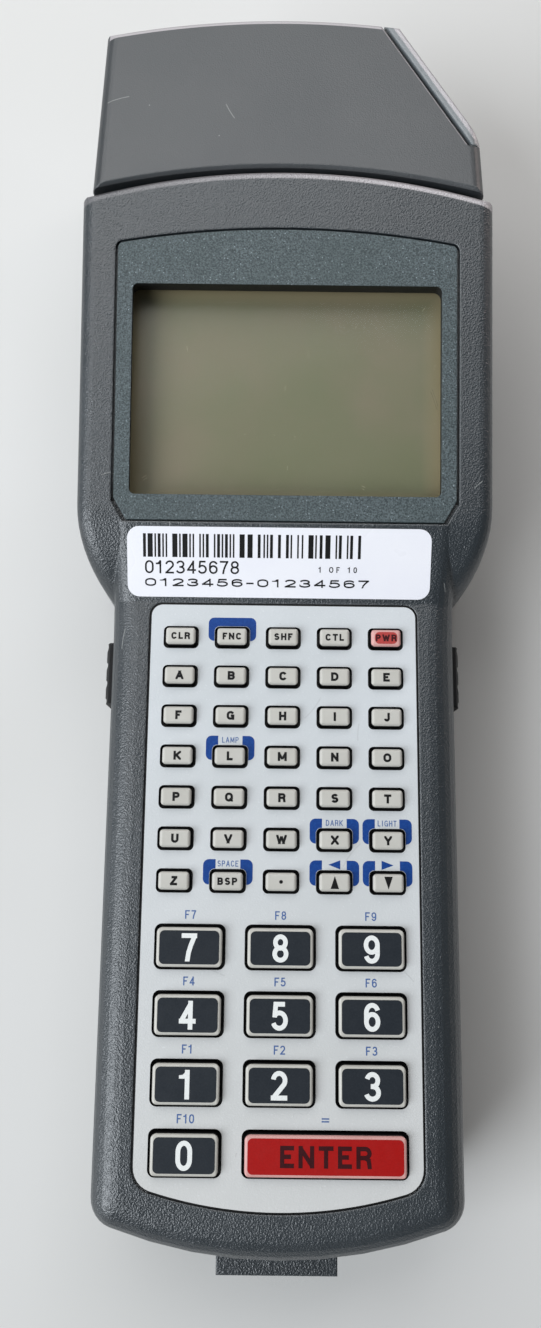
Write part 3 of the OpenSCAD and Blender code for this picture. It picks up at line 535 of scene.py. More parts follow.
# Each glyph's strokes, as centre lines in a box from (0, 0) to (1, 1), its width as a share of
# its height, and where it has one a filled corner
UPPER_BOWL = bow(0.62, 0.755, 0.34, 0.245, 90, -90)
GLYPHS = {
    "0": ([bow(0.5, 0.66, 0.5, 0.34, 0, 180) + bow(0.5, 0.34, 0.5, 0.34, 180, 360)
           + [(1, 0.66)]], 0.6),
    "1": ([[(0.66, 0), (0.66, 1)]], 0.5,
          [(0, 0.7), (0.7, 0.7), (0.7, 1), (0.5, 1), (0.42, 0.9), (0.26, 0.83), (0, 0.81)]),
    "2": ([bow(0.5, 0.71, 0.5, 0.29, 172, -32) + [(0.04, 0.02)], [(0, 0), (1, 0)]], 0.6),
    "3": ([bow(0.48, 0.75, 0.46, 0.25, 165, -90), [(0.34, 0.51), (0.52, 0.51)],
           bow(0.48, 0.255, 0.52, 0.255, 90, -165)], 0.6),
    "4": ([[(0.74, 0), (0.74, 1)], [(0.74, 0.96), (0.02, 0.27)], [(0, 0.25), (1, 0.25)]], 0.62),
    "5": ([[(0.94, 1), (0.15, 1), (0.06, 0.45)], bow(0.46, 0.32, 0.54, 0.32, 128, -160)], 0.6),
    "6": ([bow(0.5, 0.69, 0.5, 0.31, 18, 180) + bow(0.5, 0.31, 0.5, 0.31, 180, 225),
           bow(0.5, 0.31, 0.5, 0.31, 0, 360)], 0.6),
    "7": ([[(0, 1), (1, 1)], [(0.97, 0.97), (0.66, 0.6), (0.46, 0.28), (0.38, 0)]], 0.58),
    "8": ([bow(0.5, 0.755, 0.44, 0.245, 0, 360), bow(0.5, 0.265, 0.5, 0.265, 0, 360)], 0.6),
    "9": ([bow(0.5, 0.69, 0.5, 0.31, 0, 360),
           bow(0.5, 0.69, 0.5, 0.31, 45, 0) + bow(0.5, 0.31, 0.5, 0.31, 0, -162)], 0.6),
    "A": ([[(0, 0), (0.5, 1)], [(0.5, 1), (1, 0)], [(0.2, 0.28), (0.8, 0.28)]], 0.76),
    "B": ([[(0, 0), (0, 1)], [(0, 1)] + UPPER_BOWL + [(0, 0.51)],
           [(0, 0.51)] + bow(0.62, 0.255, 0.38, 0.255, 90, -90) + [(0, 0)]], 0.68),
    "C": ([bow(0.5, 0.64, 0.5, 0.36, 22, 180) + bow(0.5, 0.36, 0.5, 0.36, 180, 338)], 0.7),
    "D": ([[(0, 0), (0, 1), (0.4, 1)] + bow(0.4, 0.6, 0.6, 0.4, 90, 0)
           + bow(0.4, 0.4, 0.6, 0.4, 0, -90) + [(0, 0)]], 0.7),
    "E": ([[(1, 1), (0, 1), (0, 0), (1, 0)], [(0, 0.51), (0.9, 0.51)]], 0.62),
    "F": ([[(1, 1), (0, 1), (0, 0)], [(0, 0.5), (0.88, 0.5)]], 0.58),
    "G": ([bow(0.5, 0.64, 0.5, 0.36, 22, 180) + bow(0.5, 0.36, 0.5, 0.36, 180, 345),
           [(0.55, 0.46), (1, 0.46), (1, 0)]], 0.72),
    "H": ([[(0, 0), (0, 1)], [(1, 0), (1, 1)], [(0, 0.51), (1, 0.51)]], 0.68),
    "I": ([[(0.5, 0), (0.5, 1)]], 0.24),
    "J": ([[(1, 1), (1, 0.34)] + bow(0.5, 0.32, 0.5, 0.32, 0, -172)], 0.54),
    "K": ([[(0, 0), (0, 1)], [(1, 1), (0, 0.36)], [(0.3, 0.58), (1, 0)]], 0.7),
    "L": ([[(0, 1), (0, 0), (1, 0)]], 0.56),
    "M": ([[(0, 0), (0, 1)], [(0, 1), (0.5, 0.1)], [(0.5, 0.1), (1, 1)], [(1, 1), (1, 0)]], 0.84),
    "N": ([[(0, 0), (0, 1)], [(0, 1), (1, 0)], [(1, 0), (1, 1)]], 0.7),
    "O": ([bow(0.5, 0.62, 0.5, 0.38, 0, 180) + bow(0.5, 0.38, 0.5, 0.38, 180, 360)
           + [(1, 0.62)]], 0.74),
    "P": ([[(0, 0), (0, 1)], [(0, 1)] + bow(0.6, 0.73, 0.4, 0.27, 90, -90) + [(0, 0.46)]], 0.66),
    "Q": ([bow(0.5, 0.62, 0.5, 0.38, 0, 180) + bow(0.5, 0.38, 0.5, 0.38, 180, 360)
           + [(1, 0.62)], [(0.58, 0.26), (1, 0)]], 0.74),
    "R": ([[(0, 0), (0, 1)], [(0, 1)] + bow(0.6, 0.745, 0.4, 0.255, 90, -90) + [(0, 0.49)],
           [(0.6, 0.49), (0.92, 0.36), (1, 0)]], 0.68),
    "S": ([bow(0.5, 0.745, 0.46, 0.255, 22, 232) + bow(0.5, 0.262, 0.5, 0.262, 52, -160)], 0.66),
    "T": ([[(0, 1), (1, 1)], [(0.5, 1), (0.5, 0)]], 0.66),
    "U": ([[(0, 1), (0, 0.34)] + bow(0.5, 0.34, 0.5, 0.34, 180, 360) + [(1, 1)]], 0.68),
    "V": ([[(0, 1), (0.5, 0)], [(0.5, 0), (1, 1)]], 0.74),
    "W": ([[(0, 1), (0.25, 0)], [(0.25, 0), (0.5, 0.96)], [(0.5, 0.96), (0.75, 0)],
           [(0.75, 0), (1, 1)]], 0.98),
    "X": ([[(0, 1), (1, 0)], [(0, 0), (1, 1)]], 0.72),
    "Y": ([[(0, 1), (0.5, 0.42)], [(1, 1), (0.5, 0.42)], [(0.5, 0.46), (0.5, 0)]], 0.72),
    "Z": ([[(0.05, 1), (1, 1)], [(1, 0.98), (0, 0.02)], [(0, 0), (1, 0)]], 0.66),
    "=": ([[(0, 0.68), (1, 0.68)], [(0, 0.32), (1, 0.32)]], 0.62),
    "-": ([[(0, 0.45), (1, 0.45)]], 0.4),
    " ": ([], 0.3),
}


def clipped(polygon, low, high):
    """The part of a convex polygon inside a box."""
    for axis, bound, sign in ((0, low[0], 1), (0, high[0], -1), (1, low[1], 1), (1, high[1], -1)):
        result = []
        for a, b in zip(polygon, polygon[1:] + polygon[:1]):
            da, db = sign * (a[axis] - bound), sign * (b[axis] - bound)
            if da >= 0:
                result.append(a)
            if (da < 0) != (db < 0):
                result.append(a + (b - a) * (da / (da - db)))
        polygon = result
        if not polygon:
            break
    return polygon


SAME_PLACE = 1e-7  # ends closer than this close the stroke
NO_LENGTH = 1e-9
MITRE_LIMIT = 0.25  # the least cosine that a bend's mitre is cut for
END_REACH = 0.51  # how near the glyph's edge a stroke's end runs on to it, as a share of weight


def stroke_quads(points, weight, low, high):
    """Convex pieces of a stroke of even weight along points, mitred where it bends. An end on
    the glyph's edge runs on to the edge."""
    points = [p for i, p in enumerate(points) if i == 0 or (p - points[i - 1]).length > NO_LENGTH]
    closed = (points[0] - points[-1]).length < SAME_PLACE
    if closed:
        points = points[:-1]
    count = len(points)
    cuts = []
    for i in range(count):
        before = points[i] - points[i - 1] if closed or i > 0 else points[1] - points[0]
        after = points[(i + 1) % count] - points[i] if closed or i < count - 1 else before
        before, after = before.normalized(), after.normalized()
        middle = (before + after).normalized()
        normal = Vector((-middle.y, middle.x))
        reach = weight / 2 / max(MITRE_LIMIT, normal.dot(Vector((-before.y, before.x))))
        shift = Vector((0, 0))
        if not closed and i in (0, count - 1):
            out = -middle if i == 0 else middle
            near = weight * END_REACH
            if any((p < lo + near and d < -0.5) or (p > hi - near and d > 0.5)
                   for p, d, lo, hi in zip(points[i], out, low, high)):
                shift = out * weight
        cuts.append((points[i] + shift + normal * reach, points[i] + shift - normal * reach))
    quads = []
    for i in range(count if closed else count - 1):
        corners = [*cuts[i], *cuts[(i + 1) % count]]
        quads.append(clipped([corners[k] for k in convex_hull_2d(corners)], low, high))
    return [q for q in quads if len(q) > 2]


PRINT_T = 0.00003  # thickness of a legend
NARROW = 0.3  # glyphs narrower than this share of their height get a stroke's weight more
GLYPH_DIGITS = 4  # glyphs are rounded to these digits, so that edges that all but meet do meet
GLYPH_TOLERANCE = 1e-5
FLAT_ANGLE = 0.01  # radians; edges between flatter faces are dissolved


def lettering(text, height, weight, width=1.0, gap=0.3, span=None):
    """Text as a thin sheet, centred at the origin. weight is the stroke's and width stretches
    the glyphs. The space between them is gap times the height, or what makes the text's length
    span."""
    widths = [GLYPHS[g][1] * height * width + (weight if GLYPHS[g][1] < NARROW else 0)
              for g in text]
    space = gap * height if span is None else (span - sum(widths)) / (len(text) - 1)
    quads, x = [], 0.0
    for glyph, wide in zip(text, widths):
        low, high = Vector((x, 0)), Vector((x + wide, height))
        for stroke in GLYPHS[glyph][0]:
            line = [Vector((x + weight / 2 + p[0] * (wide - weight),
                            weight / 2 + p[1] * (height - weight))) for p in stroke]
            quads += stroke_quads(line, weight, low, high)
        for corner in GLYPHS[glyph][2:]:
            quads.append([Vector((x + p[0] * wide, p[1] * height)) for p in corner])
        x += wide + space
    middle = Vector(((x - space) / 2, height / 2))
    quads = [[[round(c, GLYPH_DIGITS) for c in (p - middle) / height] for p in q] for q in quads]
    places, triangles, owners = triangulated(quads, GLYPH_TOLERANCE)
    mesh = bmesh.new()
    verts = [mesh.verts.new((p.x * height, p.y * height, PRINT_T)) for p in places]
    for face, inside_of in zip(triangles, owners):
        if inside_of:
            mesh.faces.new([verts[i] for i in face])
    drop_loose(mesh)
    bmesh.ops.dissolve_limit(mesh, angle_limit=FLAT_ANGLE, verts=mesh.verts[:],
                             edges=mesh.edges[:])
    add_walls(mesh)
    return mesh


def arrowhead(width, height, turn):
    """A solid arrowhead that points along turn, in degrees."""
    corners = [(-width / 2, -height / 2), (width / 2, -height / 2), (0, height / 2)]
    mesh = sheet([corners], PRINT_T)
    mesh.transform(Matrix.Rotation(math.radians(turn - 90), 4, "Z"))
    return mesh


def at(x, y, z):
    return Matrix.Translation((x, y, z))


# ---------------------------------------------------------------- CAD nodes' materials

# The spheres of the body's joint face and of the head's tip, and the window frame's outer plane
DOME_R = 133 * MM
DOME_MIDDLE = (0, -54.05 * MM, 21.544 * MM)
TIP_R = 150 * MM
TIP_MIDDLE = (0, -38.52 * MM, 21.544 * MM)
WINDOW_TURN = math.radians(59)
WINDOW_OUT = (math.sin(WINDOW_TURN), math.cos(WINDOW_TURN), 0)
WINDOW_PLANE = 73.08 * MM  # along WINDOW_OUT
WINDOW_FOOT = 83.3 * MM  # along y


def distance(g, middle):
    return g.vector("LENGTH", g.vector("SUBTRACT", g.place, middle))


def joint_painted_highlight(g):
    """A painted highlight on the body's rim at the spherical joint, stronger towards the right and
    fading down its sides.
    """
    across, _, high = g.parts(g.place)
    share = g.product(g.ramp(across, -32 * MM, 20 * MM, 0.2, 0.9),
                      g.ramp(high, 37 * MM, 42 * MM))
    return g.product(g.ramp(distance(g, DOME_MIDDLE), DOME_R - 1.3 * MM, DOME_R - 1.05 * MM),
                     share)


def head_painted_highlight(g):
    """A painted highlight on the head's edges at its tip and along the window's groove, on top."""
    _, along, high = g.parts(g.place)
    reach = distance(g, TIP_MIDDLE)
    tip = g.product(g.ramp(reach, TIP_R - 1.2 * MM, TIP_R - 1.1 * MM, 0, 0.8),
                    g.ramp(high, 41.2 * MM, 41.3 * MM))
    out = g.vector("DOT_PRODUCT", g.place, WINDOW_OUT)
    groove = g.product(g.ramp(out, WINDOW_PLANE - 2.85 * MM, WINDOW_PLANE - 2.75 * MM),
                       g.ramp(out, WINDOW_PLANE - 2.55 * MM, WINDOW_PLANE - 2.5 * MM, 0.6, 0))
    groove = g.product(groove, g.ramp(high, 41.6 * MM, 41.7 * MM))
    groove = g.product(groove, g.math("GREATER_THAN", along, WINDOW_FOOT))
    return g.math("MAXIMUM", tip, groove)


def frame_painted_highlight(g):
    """A painted highlight on the outer edge of the scan window's frame, on top."""
    out = g.vector("DOT_PRODUCT", g.place, WINDOW_OUT)
    return g.product(g.ramp(out, WINDOW_PLANE - 0.95 * MM, WINDOW_PLANE - 0.75 * MM),
                     g.ramp(g.parts(g.place)[2], 40.7 * MM, 41.2 * MM, 0, 0.85))


HOUSING = moulded("housing_abs", rgb(36, 43, 48), rgb(43, 50, 55), grain=0.0003, depth=0.0001,
                  gloss=0.29, painted_highlight_rim=joint_painted_highlight)
HEAD = moulded("head_abs", rgb(43, 47, 50), rgb(50, 54, 57), grain=0.00024, depth=0.00003,
               gloss=0.38, painted_highlight_rim=head_painted_highlight)
FRAME = moulded("window_frame_abs", rgb(112, 118, 121), rgb(122, 128, 131), grain=0.0003,
                depth=0.00006, gloss=0.32, painted_highlight_rim=frame_painted_highlight)
SHADE_BLACK = painted_shade_black()
OVERLAY = sheet_plastic()
BEZEL = speckled_bezel()
PANEL = display_panel()
PANE = clear_pane()
KEY_LIGHT = key_plastic("key_light", rgb(196, 194, 187), rgb(186, 183, 175), rgb(126, 122, 114))
KEY_PINK = key_plastic("key_pink", rgb(216, 166, 160), rgb(204, 150, 144), rgb(150, 104, 98))
FACE_DARK = print_ink("key_face_dark", rgb(35, 40, 46), rgb(43, 48, 54), 0.4)
FACE_RED = print_ink("key_face_red", rgb(164, 20, 18), rgb(152, 17, 16), 0.36)
FACE_ROSE = print_ink("key_face_rose", rgb(178, 66, 62), rgb(164, 58, 56), 0.42)
INK_BLACK = print_ink("ink_black", rgb(10, 10, 11), rgb(24, 24, 24))
INK_MAROON = print_ink("ink_maroon", rgb(52, 6, 12), rgb(66, 10, 16))
INK_WHITE = print_ink("ink_white", rgb(232, 234, 232), rgb(220, 222, 220))
INK_BLUE = print_ink("ink_blue", rgb(12, 58, 130), rgb(28, 78, 150))
INK_PALE_BLUE = print_ink("ink_pale_blue", rgb(70, 98, 150), rgb(92, 120, 168))
STICKER = paper_label()
RUBBER = ribbed_rubber()
STEEL = plated_steel()
BOARD = circuit_board()
CELLS = cell_wrap()
CAST = cast_metal()
RED_FILTER = red_filter()

DIGITS = "0123456789"
LIGHT_KEYS = [n for n in NODES if n.startswith("key_") and n not in ("key_enter", "key_pwr")]
LOOKS = {
    "front_housing": HOUSING, "back_housing": HOUSING, "battery_door": HOUSING,
    "head_housing": HEAD, "keypad_overlay": OVERLAY, "lcd_module": PANEL, "main_board": BOARD,
    "battery_pack": CELLS, "scan_engine": CAST, "housing_screws": STEEL,
    "trigger_left": RUBBER, "trigger_right": RUBBER, "key_enter": KEY_PINK, "key_pwr": KEY_PINK,
    **{n: KEY_LIGHT for n in LIGHT_KEYS},
}


def paint(node, *materials, pick=None):
    """Gives a CAD node its materials. pick chooses one for each face."""
    data = NODES[node].data
    data.materials.clear()
    for material in materials:
        data.materials.append(material)
    for face in data.polygons:
        face.material_index = pick(face) if pick else 0


for node, look in LOOKS.items():
    paint(node, look)

FACE_NORMAL = Vector((0, -math.sin(FACE_TILT), math.cos(FACE_TILT)))
FACE_UP = Vector((0, math.cos(FACE_TILT), math.sin(FACE_TILT)))
WINDOW_W, WINDOW_L = 54.8 * MM, 37.7 * MM
WINDOW_UP = 23.65 * MM  # middle of the display opening, along the face from its foot
# Heights over the display face: what lies lower in the cover is its pane, and the shell's faces
# between the other two are the sides of its opening
PANE_TOP = -2 * MM
RECESS_FLOOR, RECESS_TOP = -5 * MM, -0.9 * MM
COVER_REACH, SHELL_REACH = 1 * MM, 1.5 * MM  # how far beside the opening its sides are looked for
KEY_SIDE_TOP = OVERLAY_LOW.z + 0.2 * MM
OVERLAY_FACE = OVERLAY_TOP - 0.1 * MM


def beside_window(p, reach):
    """True within reach outside the display opening, as seen square on."""
    along = (p - FACE_FOOT).dot(FACE_UP) - WINDOW_UP
    return abs(p.x) < WINDOW_W / 2 + reach and abs(along) < WINDOW_L / 2 + reach


def cover_part(face):
    """0 on the bezel, 1 on the pane under it, 2 on the opening's sides, which are painted black as
    shade.
    """
    if (face.center - FACE_FOOT).dot(FACE_NORMAL) < PANE_TOP:
        return 1
    upright = abs(face.normal.dot(FACE_NORMAL)) < 0.5
    return 2 if upright and beside_window(face.center, COVER_REACH) else 0


def shell_part(face):
    """1 on the sides of the display opening and of the key windows, which are painted black as
    shade, and 0 elsewhere.
    """
    p = face.center
    if p.y > FACE_FOOT.y:
        height = (p - FACE_FOOT).dot(FACE_NORMAL)
        return int(RECESS_FLOOR < height < RECESS_TOP and beside_window(p, SHELL_REACH))
    low, high = OVERLAY_LOW, OVERLAY_HIGH
    return int(p.z < KEY_SIDE_TOP and low.x < p.x < high.x and low.y < p.y < high.y)


paint("display_cover", BEZEL, PANE, SHADE_BLACK, pick=cover_part)
paint("front_housing", HOUSING, SHADE_BLACK, pick=shell_part)
# The overlay's sides and underside are painted black as shade.
paint("keypad_overlay", OVERLAY, SHADE_BLACK,
      pick=lambda face: int(face.normal.z < 0.5 or face.center.z < OVERLAY_FACE))


def solids_of(data):
    """For each vertex of a mesh, the number of the closed solid that it belongs to."""
    by_place = {}
    group = list(range(len(data.vertices)))

    def root(i):
        while group[i] != i:
            group[i] = group[group[i]]
            i = group[i]
        return i
    for v in data.vertices:
        first = by_place.setdefault(tuple(round(c, 7) for c in v.co), v.index)
        group[root(v.index)] = root(first)
    for edge in data.edges:
        group[root(edge.vertices[0])] = root(edge.vertices[1])
    return [root(i) for i in range(len(data.vertices))]


def paint_smallest(node, rest, smallest):
    """Gives the smallest of a node's solids its own material."""
    data = NODES[node].data
    groups = solids_of(data)
    boxes = {}
    for v, g in zip(data.vertices, groups):
        low, high = boxes.get(g, (v.co, v.co))
        boxes[g] = (Vector(map(min, low, v.co)), Vector(map(max, high, v.co)))
    small = min(boxes, key=lambda g: (boxes[g][1] - boxes[g][0]).length)
    data.materials.clear()
    data.materials.append(rest)
    data.materials.append(smallest)
    for face in data.polygons:
        face.material_index = int(groups[face.vertices[0]] == small)


paint_smallest("scan_window", FRAME, RED_FILTER)


# ---------------------------------------------------------------- key faces and legends

FACE_T = 0.00005
FACE_R = 0.0008
FLANGE = 0.0029  # what a large key's box adds to its printed face
PWR_FACE = (0.0039, 0.0021)
KEY_ARROW = (0.0014, 0.0021)
DOT_SIZE, DOT_R = 0.0006, 0.00028

# The lettering's sizes: the height, the strokes' weight, the width, and the gap or the span
DIGIT_TYPE = {"height": 0.0045, "weight": 0.00075, "width": 0.98}
ENTER_TYPE = {"height": 0.0033, "weight": 0.00066, "width": 1.08, "gap": 0.22}
PWR_TYPE = {"height": 0.0012, "weight": 0.00029, "width": 1.1, "gap": 0.24}
WORD_TYPE = {"height": 0.00122, "weight": 0.0003, "width": 1.12, "gap": 0.24}
LETTER_TYPE = {"height": 0.00152, "weight": 0.0004, "width": 1.2}
PATCH_TYPE = {"height": 0.00098, "weight": 0.00013, "width": 0.82, "gap": 0.2}
FUNCTION_TYPE = {"height": 0.0014, "weight": 0.0002, "width": 0.95, "gap": 0.2}
EQUALS_TYPE = {**FUNCTION_TYPE, "width": 1.4}
NUMBER_TYPE = {"height": 0.0023, "weight": 0.0003, "width": 1.1, "span": 0.0166}
COUNT_TYPE = {"height": 0.001, "weight": 0.00016, "span": 0.0068}
LINE_TYPE = {"height": 0.0014, "weight": 0.00026, "width": 2.3, "span": 0.0396}


def key_top(node):
    """Middle of a key's top."""
    low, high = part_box(node)
    return Vector(((low.x + high.x) / 2, (low.y + high.y) / 2, high.z))


def key_legend(node, mesh, ink=INK_BLACK, lift=0.0):
    piece("legend_" + node[4:], mesh, at(*key_top(node) + Vector((0, 0, lift))), ink, node)


def key_face(node, size, material):
    """The printed face that leaves the key's light rim bare."""
    piece("face_" + node[4:], sheet([round_rect(*size, FACE_R)], FACE_T), at(*key_top(node)),
          material, node)


def face_size(node):
    low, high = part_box(node)
    return high.x - low.x - FLANGE, high.y - low.y - FLANGE


for digit in DIGITS:
    node = "key_" + digit
    key_face(node, face_size(node), FACE_DARK)
    key_legend(node, lettering(digit, **DIGIT_TYPE), INK_WHITE, lift=FACE_T)
for word, size, face, kind in (("ENTER", face_size("key_enter"), FACE_RED, ENTER_TYPE),
                               ("PWR", PWR_FACE, FACE_ROSE, PWR_TYPE)):
    node = "key_" + word.lower()
    key_face(node, size, face)
    key_legend(node, lettering(word, **kind), INK_MAROON, FACE_T)
for word in ("CLR", "FNC", "SHF", "CTL", "BSP"):
    key_legend("key_" + word.lower(), lettering(word, **WORD_TYPE))
for letter in "ABCDEFGHIJKLMNOPQRSTUVWXYZ":
    key_legend("key_" + letter.lower(), lettering(letter, **LETTER_TYPE))
key_legend("key_up", arrowhead(*KEY_ARROW, 90))
key_legend("key_down", arrowhead(*KEY_ARROW, -90))
key_legend("key_dot", sheet([round_rect(DOT_SIZE, DOT_SIZE, DOT_R)], PRINT_T))


# ---------------------------------------------------------------- prints on the overlay

PATCH_W, PATCH_L, PATCH_R, PATCH_UP = 0.0084, 0.0042, 0.001, 0.0015
OPENING_W, OPENING_L, OPENING_R = 0.0063, 0.0041, 0.0009
CROWN_W, CROWN_L, CROWN_R, CROWN_UP = 0.0042, 0.006, 0.00001, 0.0045
PATCH_T = 0.00002
PATCH_ARROW = (0.0015, 0.002)
WORD_UP = 0.0029  # a word's or arrow's middle above that of its key
FUNCTION_UP = 0.0052

OVERLAY_FOOT_R = 0.0737  # of the long arc at its foot
OVERLAY_LOW_R, OVERLAY_HIGH_R = 0.004, 0.0022  # of its corners
ARC_STEPS = 12
SHADE_LINE_OUT, SHADE_LINE_IN, SHADE_LINE_T = 0.00002, 0.00022, 0.00001


def overlay_print(name, mesh, x, y, ink=INK_PALE_BLUE):
    piece(name, mesh, at(x, y, OVERLAY_TOP), ink)


def blue_patch(node, open_top=True):
    """The blue arch round a key's upper half. With open_top its crown leaves room for a word."""
    arch = round_rect(PATCH_W, PATCH_L, PATCH_R, PATCH_UP)
    bare = [round_rect(OPENING_W, OPENING_L, OPENING_R)]
    if open_top:
        bare.append(round_rect(CROWN_W, CROWN_L, CROWN_R, CROWN_UP))
    mesh = sheet([arch, *bare], PATCH_T,
                 lambda p: inside(arch, p) and not any(inside(o, p) for o in bare))
    top = key_top(node)
    overlay_print("patch_" + node[4:], mesh, top.x, top.y, INK_BLUE)


def overlay_outline(inset):
    """The overlay's outline, drawn in by inset: a rectangle whose foot is a long arc."""
    half = OVERLAY_HIGH.x - inset
    long_r, low_r, high_r = (r - inset for r in (OVERLAY_FOOT_R, OVERLAY_LOW_R, OVERLAY_HIGH_R))
    arc_y = OVERLAY_LOW.y + OVERLAY_FOOT_R
    corner_y = arc_y - math.sqrt((long_r - low_r) ** 2 - (half - low_r) ** 2)
    end = math.asin((half - low_r) / (long_r - low_r))
    points = [(long_r * math.sin(end * i / ARC_STEPS),
               arc_y - long_r * math.cos(end * i / ARC_STEPS)) for i in range(ARC_STEPS)]
    points += bow(half - low_r, corner_y, low_r, low_r, math.degrees(end) - 90, 0)
    points += bow(half - high_r, OVERLAY_HIGH.y - inset - high_r, high_r, high_r, 0, 90)
    return points + [(-x, y) for x, y in reversed(points[1:])]


# A black line painted round the overlay's edge as the shadow in the gap beside it.
SHADE_LINE = [overlay_outline(-SHADE_LINE_OUT), overlay_outline(SHADE_LINE_IN)]
overlay_print("overlay_shade_line", sheet(SHADE_LINE, SHADE_LINE_T, lambda p: not inside(SHADE_LINE[1], p)), 0, 0,
              INK_BLACK)

blue_patch("key_fnc", open_top=False)
for node, word in (("key_l", "LAMP"), ("key_x", "DARK"), ("key_y", "LIGHT"), ("key_bsp", "SPACE")):
    blue_patch(node)
    top = key_top(node)
    overlay_print("word_" + word.lower(), lettering(word, **PATCH_TYPE), top.x, top.y + WORD_UP)
for node, turn in (("key_up", 180), ("key_down", 0)):
    blue_patch(node)
    top = key_top(node)
    overlay_print("arrow_" + node[4:], arrowhead(*PATCH_ARROW, turn), top.x, top.y + WORD_UP,
                  INK_BLUE)
for node, word, kind in ([("key_" + d, "F" + d, FUNCTION_TYPE) for d in DIGITS[1:]]
                         + [("key_0", "F10", FUNCTION_TYPE), ("key_enter", "=", EQUALS_TYPE)]):
    top = key_top(node)
    overlay_print("print_" + node[4:], lettering(word, **kind), top.x, top.y + FUNCTION_UP)


# ---------------------------------------------------------------- stock label on the slope

LABEL_W, LABEL_L, LABEL_R, LABEL_T = 0.0535, 0.0124, 0.0021, 0.00012
LABEL_MIDDLE = (-0.0009, 0.007, 0)  # on the slope, from the middle of its foot
LABEL_PLACE = (Matrix.Translation(RAMP_FOOT) @ Matrix.Rotation(RAMP_TILT, 4, "X")
               @ at(*LABEL_MIDDLE))
BARS_W, BARS_L, BARS_T = 0.0388, 0.0041, 0.00002
BAR_WIDTHS = (0.00028, 0.00028, 0.0005, 0.0009)
BAR_GAPS = (0.0003, 0.0003, 0.0005, 0.0009)


def bars():
    """A row of bars of plain random widths that encodes nothing."""
    draw = random.Random(7)
    meshes, x = [], -BARS_W / 2
    low, high = -BARS_L / 2, BARS_L / 2
    while x < BARS_W / 2 - max(BAR_WIDTHS):
        end = x + draw.choice(BAR_WIDTHS)
        meshes.append(sheet([[(x, low), (end, low), (end, high), (x, high)]], BARS_T))
        x = end + draw.choice(BAR_GAPS)
    return joined(meshes)


def on_label(name, mesh, left, up):
    """Prints on the label, with the print's left end so far from the label's."""
    start = min(v.co.x for v in mesh.verts)
    piece(name, mesh, LABEL_PLACE @ at(left - start - LABEL_W / 2, up, LABEL_T), INK_BLACK)


piece("stock_label", sheet([round_rect(LABEL_W, LABEL_L, LABEL_R)], LABEL_T), LABEL_PLACE,
      STICKER)
on_label("label_bars", bars(), 0.0028, 0.0029)
on_label("label_number", lettering("012345678", **NUMBER_TYPE), 0.0031, -0.0009)
on_label("label_count", lettering("1 OF 10", **COUNT_TYPE), 0.0337, -0.0011)
on_label("label_line", lettering("0123456-01234567", **LINE_TYPE), 0.0031, -0.0036)


# ---------------------------------------------------------------- screw faces in the back

SCREW_R, SCREW_T = 0.0019, 0.0004
SCREW_SIDES = 32
CROSS_ARM, CROSS_HALF = 0.62, 0.13  # shares of the radius
CROSS_FLOOR = 0.00001
SCREW_TURN = 0.7  # radians from each screw's cross to the next


def screw_face():
    """A pan head's face with a cross recess, looking down from the back."""
    rim = [(SCREW_R * math.cos(math.tau * i / SCREW_SIDES),
            SCREW_R * math.sin(math.tau * i / SCREW_SIDES)) for i in range(SCREW_SIDES)]
    arm, half = SCREW_R * CROSS_ARM, SCREW_R * CROSS_HALF
    cross = []
    for quarter in range(4):
        a = math.radians(90 * quarter)
        for x, y in ((arm, -half), (arm, half), (half, half)):
            cross.append((x * math.cos(a) - y * math.sin(a), x * math.sin(a) + y * math.cos(a)))
    face = sheet([rim, cross], SCREW_T, lambda p: not inside(cross, p))
    floor = bmesh.new()
    floor.faces.new([floor.verts.new((x, y, CROSS_FLOOR)) for x, y in cross])
    whole = joined([face, floor])
    whole.transform(Matrix.Rotation(math.pi, 4, "X"))
    return whole


def screw_middles():
    """Middles of the six screws' heads, from the CAD node's own vertices."""
    data = NODES["housing_screws"].data
    groups = {}
    for v, g in zip(data.vertices, solids_of(data)):
        groups.setdefault(g, []).append(v.co)
    middles = []
    for points in groups.values():
        low, high = (Vector(map(f, *points)) for f in (min, max))
        middles.append(Vector(((low.x + high.x) / 2, (low.y + high.y) / 2, low.z)))
    return sorted(middles, key=lambda p: (round(p.y, 4), p.x))


for number, middle in enumerate(screw_middles(), 1):
    turn = Matrix.Rotation(SCREW_TURN * number, 4, "Z")
    piece(f"screw_face_{number}", screw_face(), at(*middle) @ turn, STEEL)


# ---------------------------------------------------------------- shading of the CAD meshes

SHARP_ANGLE = math.radians(28)

for node in NODES.values():
    node.data.shade_smooth()
    node.data.set_sharp_from_angle(angle=SHARP_ANGLE)


# ---------------------------------------------------------------- floor, lights and camera

FLOOR_SIZE, FLOOR_Z = 4, -0.0002

# The camera that was fitted to the photo
CAMERA_PLACE = (-0.0022, -0.0423, 0.2021)
CAMERA_TILT, CAMERA_ROLL = math.radians(10.70), math.radians(0.68)
CAMERA_LENS, CAMERA_SENSOR = 27.11, 36  # mm


def add_floor():
    bpy.ops.mesh.primitive_plane_add(size=FLOOR_SIZE, location=(0, 0, FLOOR_Z))
    floor = bpy.context.object
    floor.name = "floor"
    floor.data.materials.append(pale_floor())


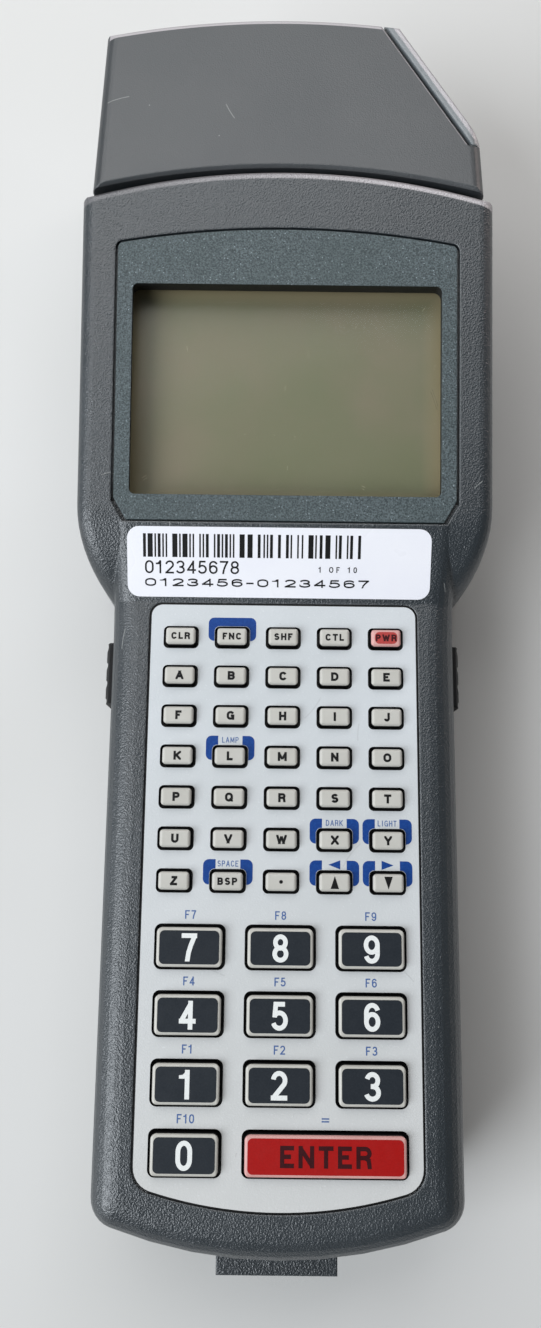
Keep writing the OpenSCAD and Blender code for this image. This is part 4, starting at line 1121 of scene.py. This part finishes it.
def add_light(name, place, aim, size, power, colour):
    data = bpy.data.lights.new(name, "AREA")
    data.shape = "RECTANGLE"
    data.size, data.size_y = size
    data.energy = power
    data.color = colour
    lamp = bpy.data.objects.new(name, data)
    lamp.location = place
    lamp.rotation_euler = (Vector(aim) - Vector(place)).to_track_quat("-Z", "Y").to_euler()
    bpy.context.scene.collection.objects.link(lamp)


def add_world(colour, strength):
    world = bpy.data.worlds.new("studio")
    world.use_nodes = True
    background = world.node_tree.nodes["Background"]
    background.inputs["Color"].default_value = colour
    background.inputs["Strength"].default_value = strength
    bpy.context.scene.world = world


def add_camera():
    """The photo's view: a close camera over the keypad, tilted towards the head."""
    sin, cos = math.sin(CAMERA_TILT), math.cos(CAMERA_TILT)
    ahead, side, down = Vector((0, sin, -cos)), Vector((1, 0, 0)), Vector((0, -cos, -sin))
    right = math.cos(CAMERA_ROLL) * side - math.sin(CAMERA_ROLL) * down
    up = -(math.sin(CAMERA_ROLL) * side + math.cos(CAMERA_ROLL) * down)
    data = bpy.data.cameras.new("camera")
    data.sensor_width = CAMERA_SENSOR
    data.lens = CAMERA_LENS
    data.clip_start = 0.01
    camera = bpy.data.objects.new("camera", data)
    turn = Matrix((right, up, -ahead)).transposed()
    camera.matrix_world = Matrix.Translation(CAMERA_PLACE) @ turn.to_4x4()
    bpy.context.scene.collection.objects.link(camera)
    bpy.context.scene.camera = camera


add_floor()
add_world((0.98, 0.99, 1.0, 1.0), strength=0.12)
add_light("window", (-0.76, -0.42, 0.74), aim=(0, 0, 0.03), size=(0.8, 0.75), power=13.2,
          colour=(0.9, 0.95, 1.0))
add_light("sky_head", (-0.08, 0.28, 0.38), aim=(0, 0.05, 0.03), size=(0.54, 0.4), power=1.5,
          colour=(0.98, 0.99, 1.0))
add_light("lamp_right", (0.45, 0.42, 0.17), aim=(0, 0.05, 0.03), size=(0.14, 0.08), power=0.35,
          colour=(1.0, 0.86, 0.82))
add_camera()
bpy.context.scene.view_settings.view_transform = "Standard"
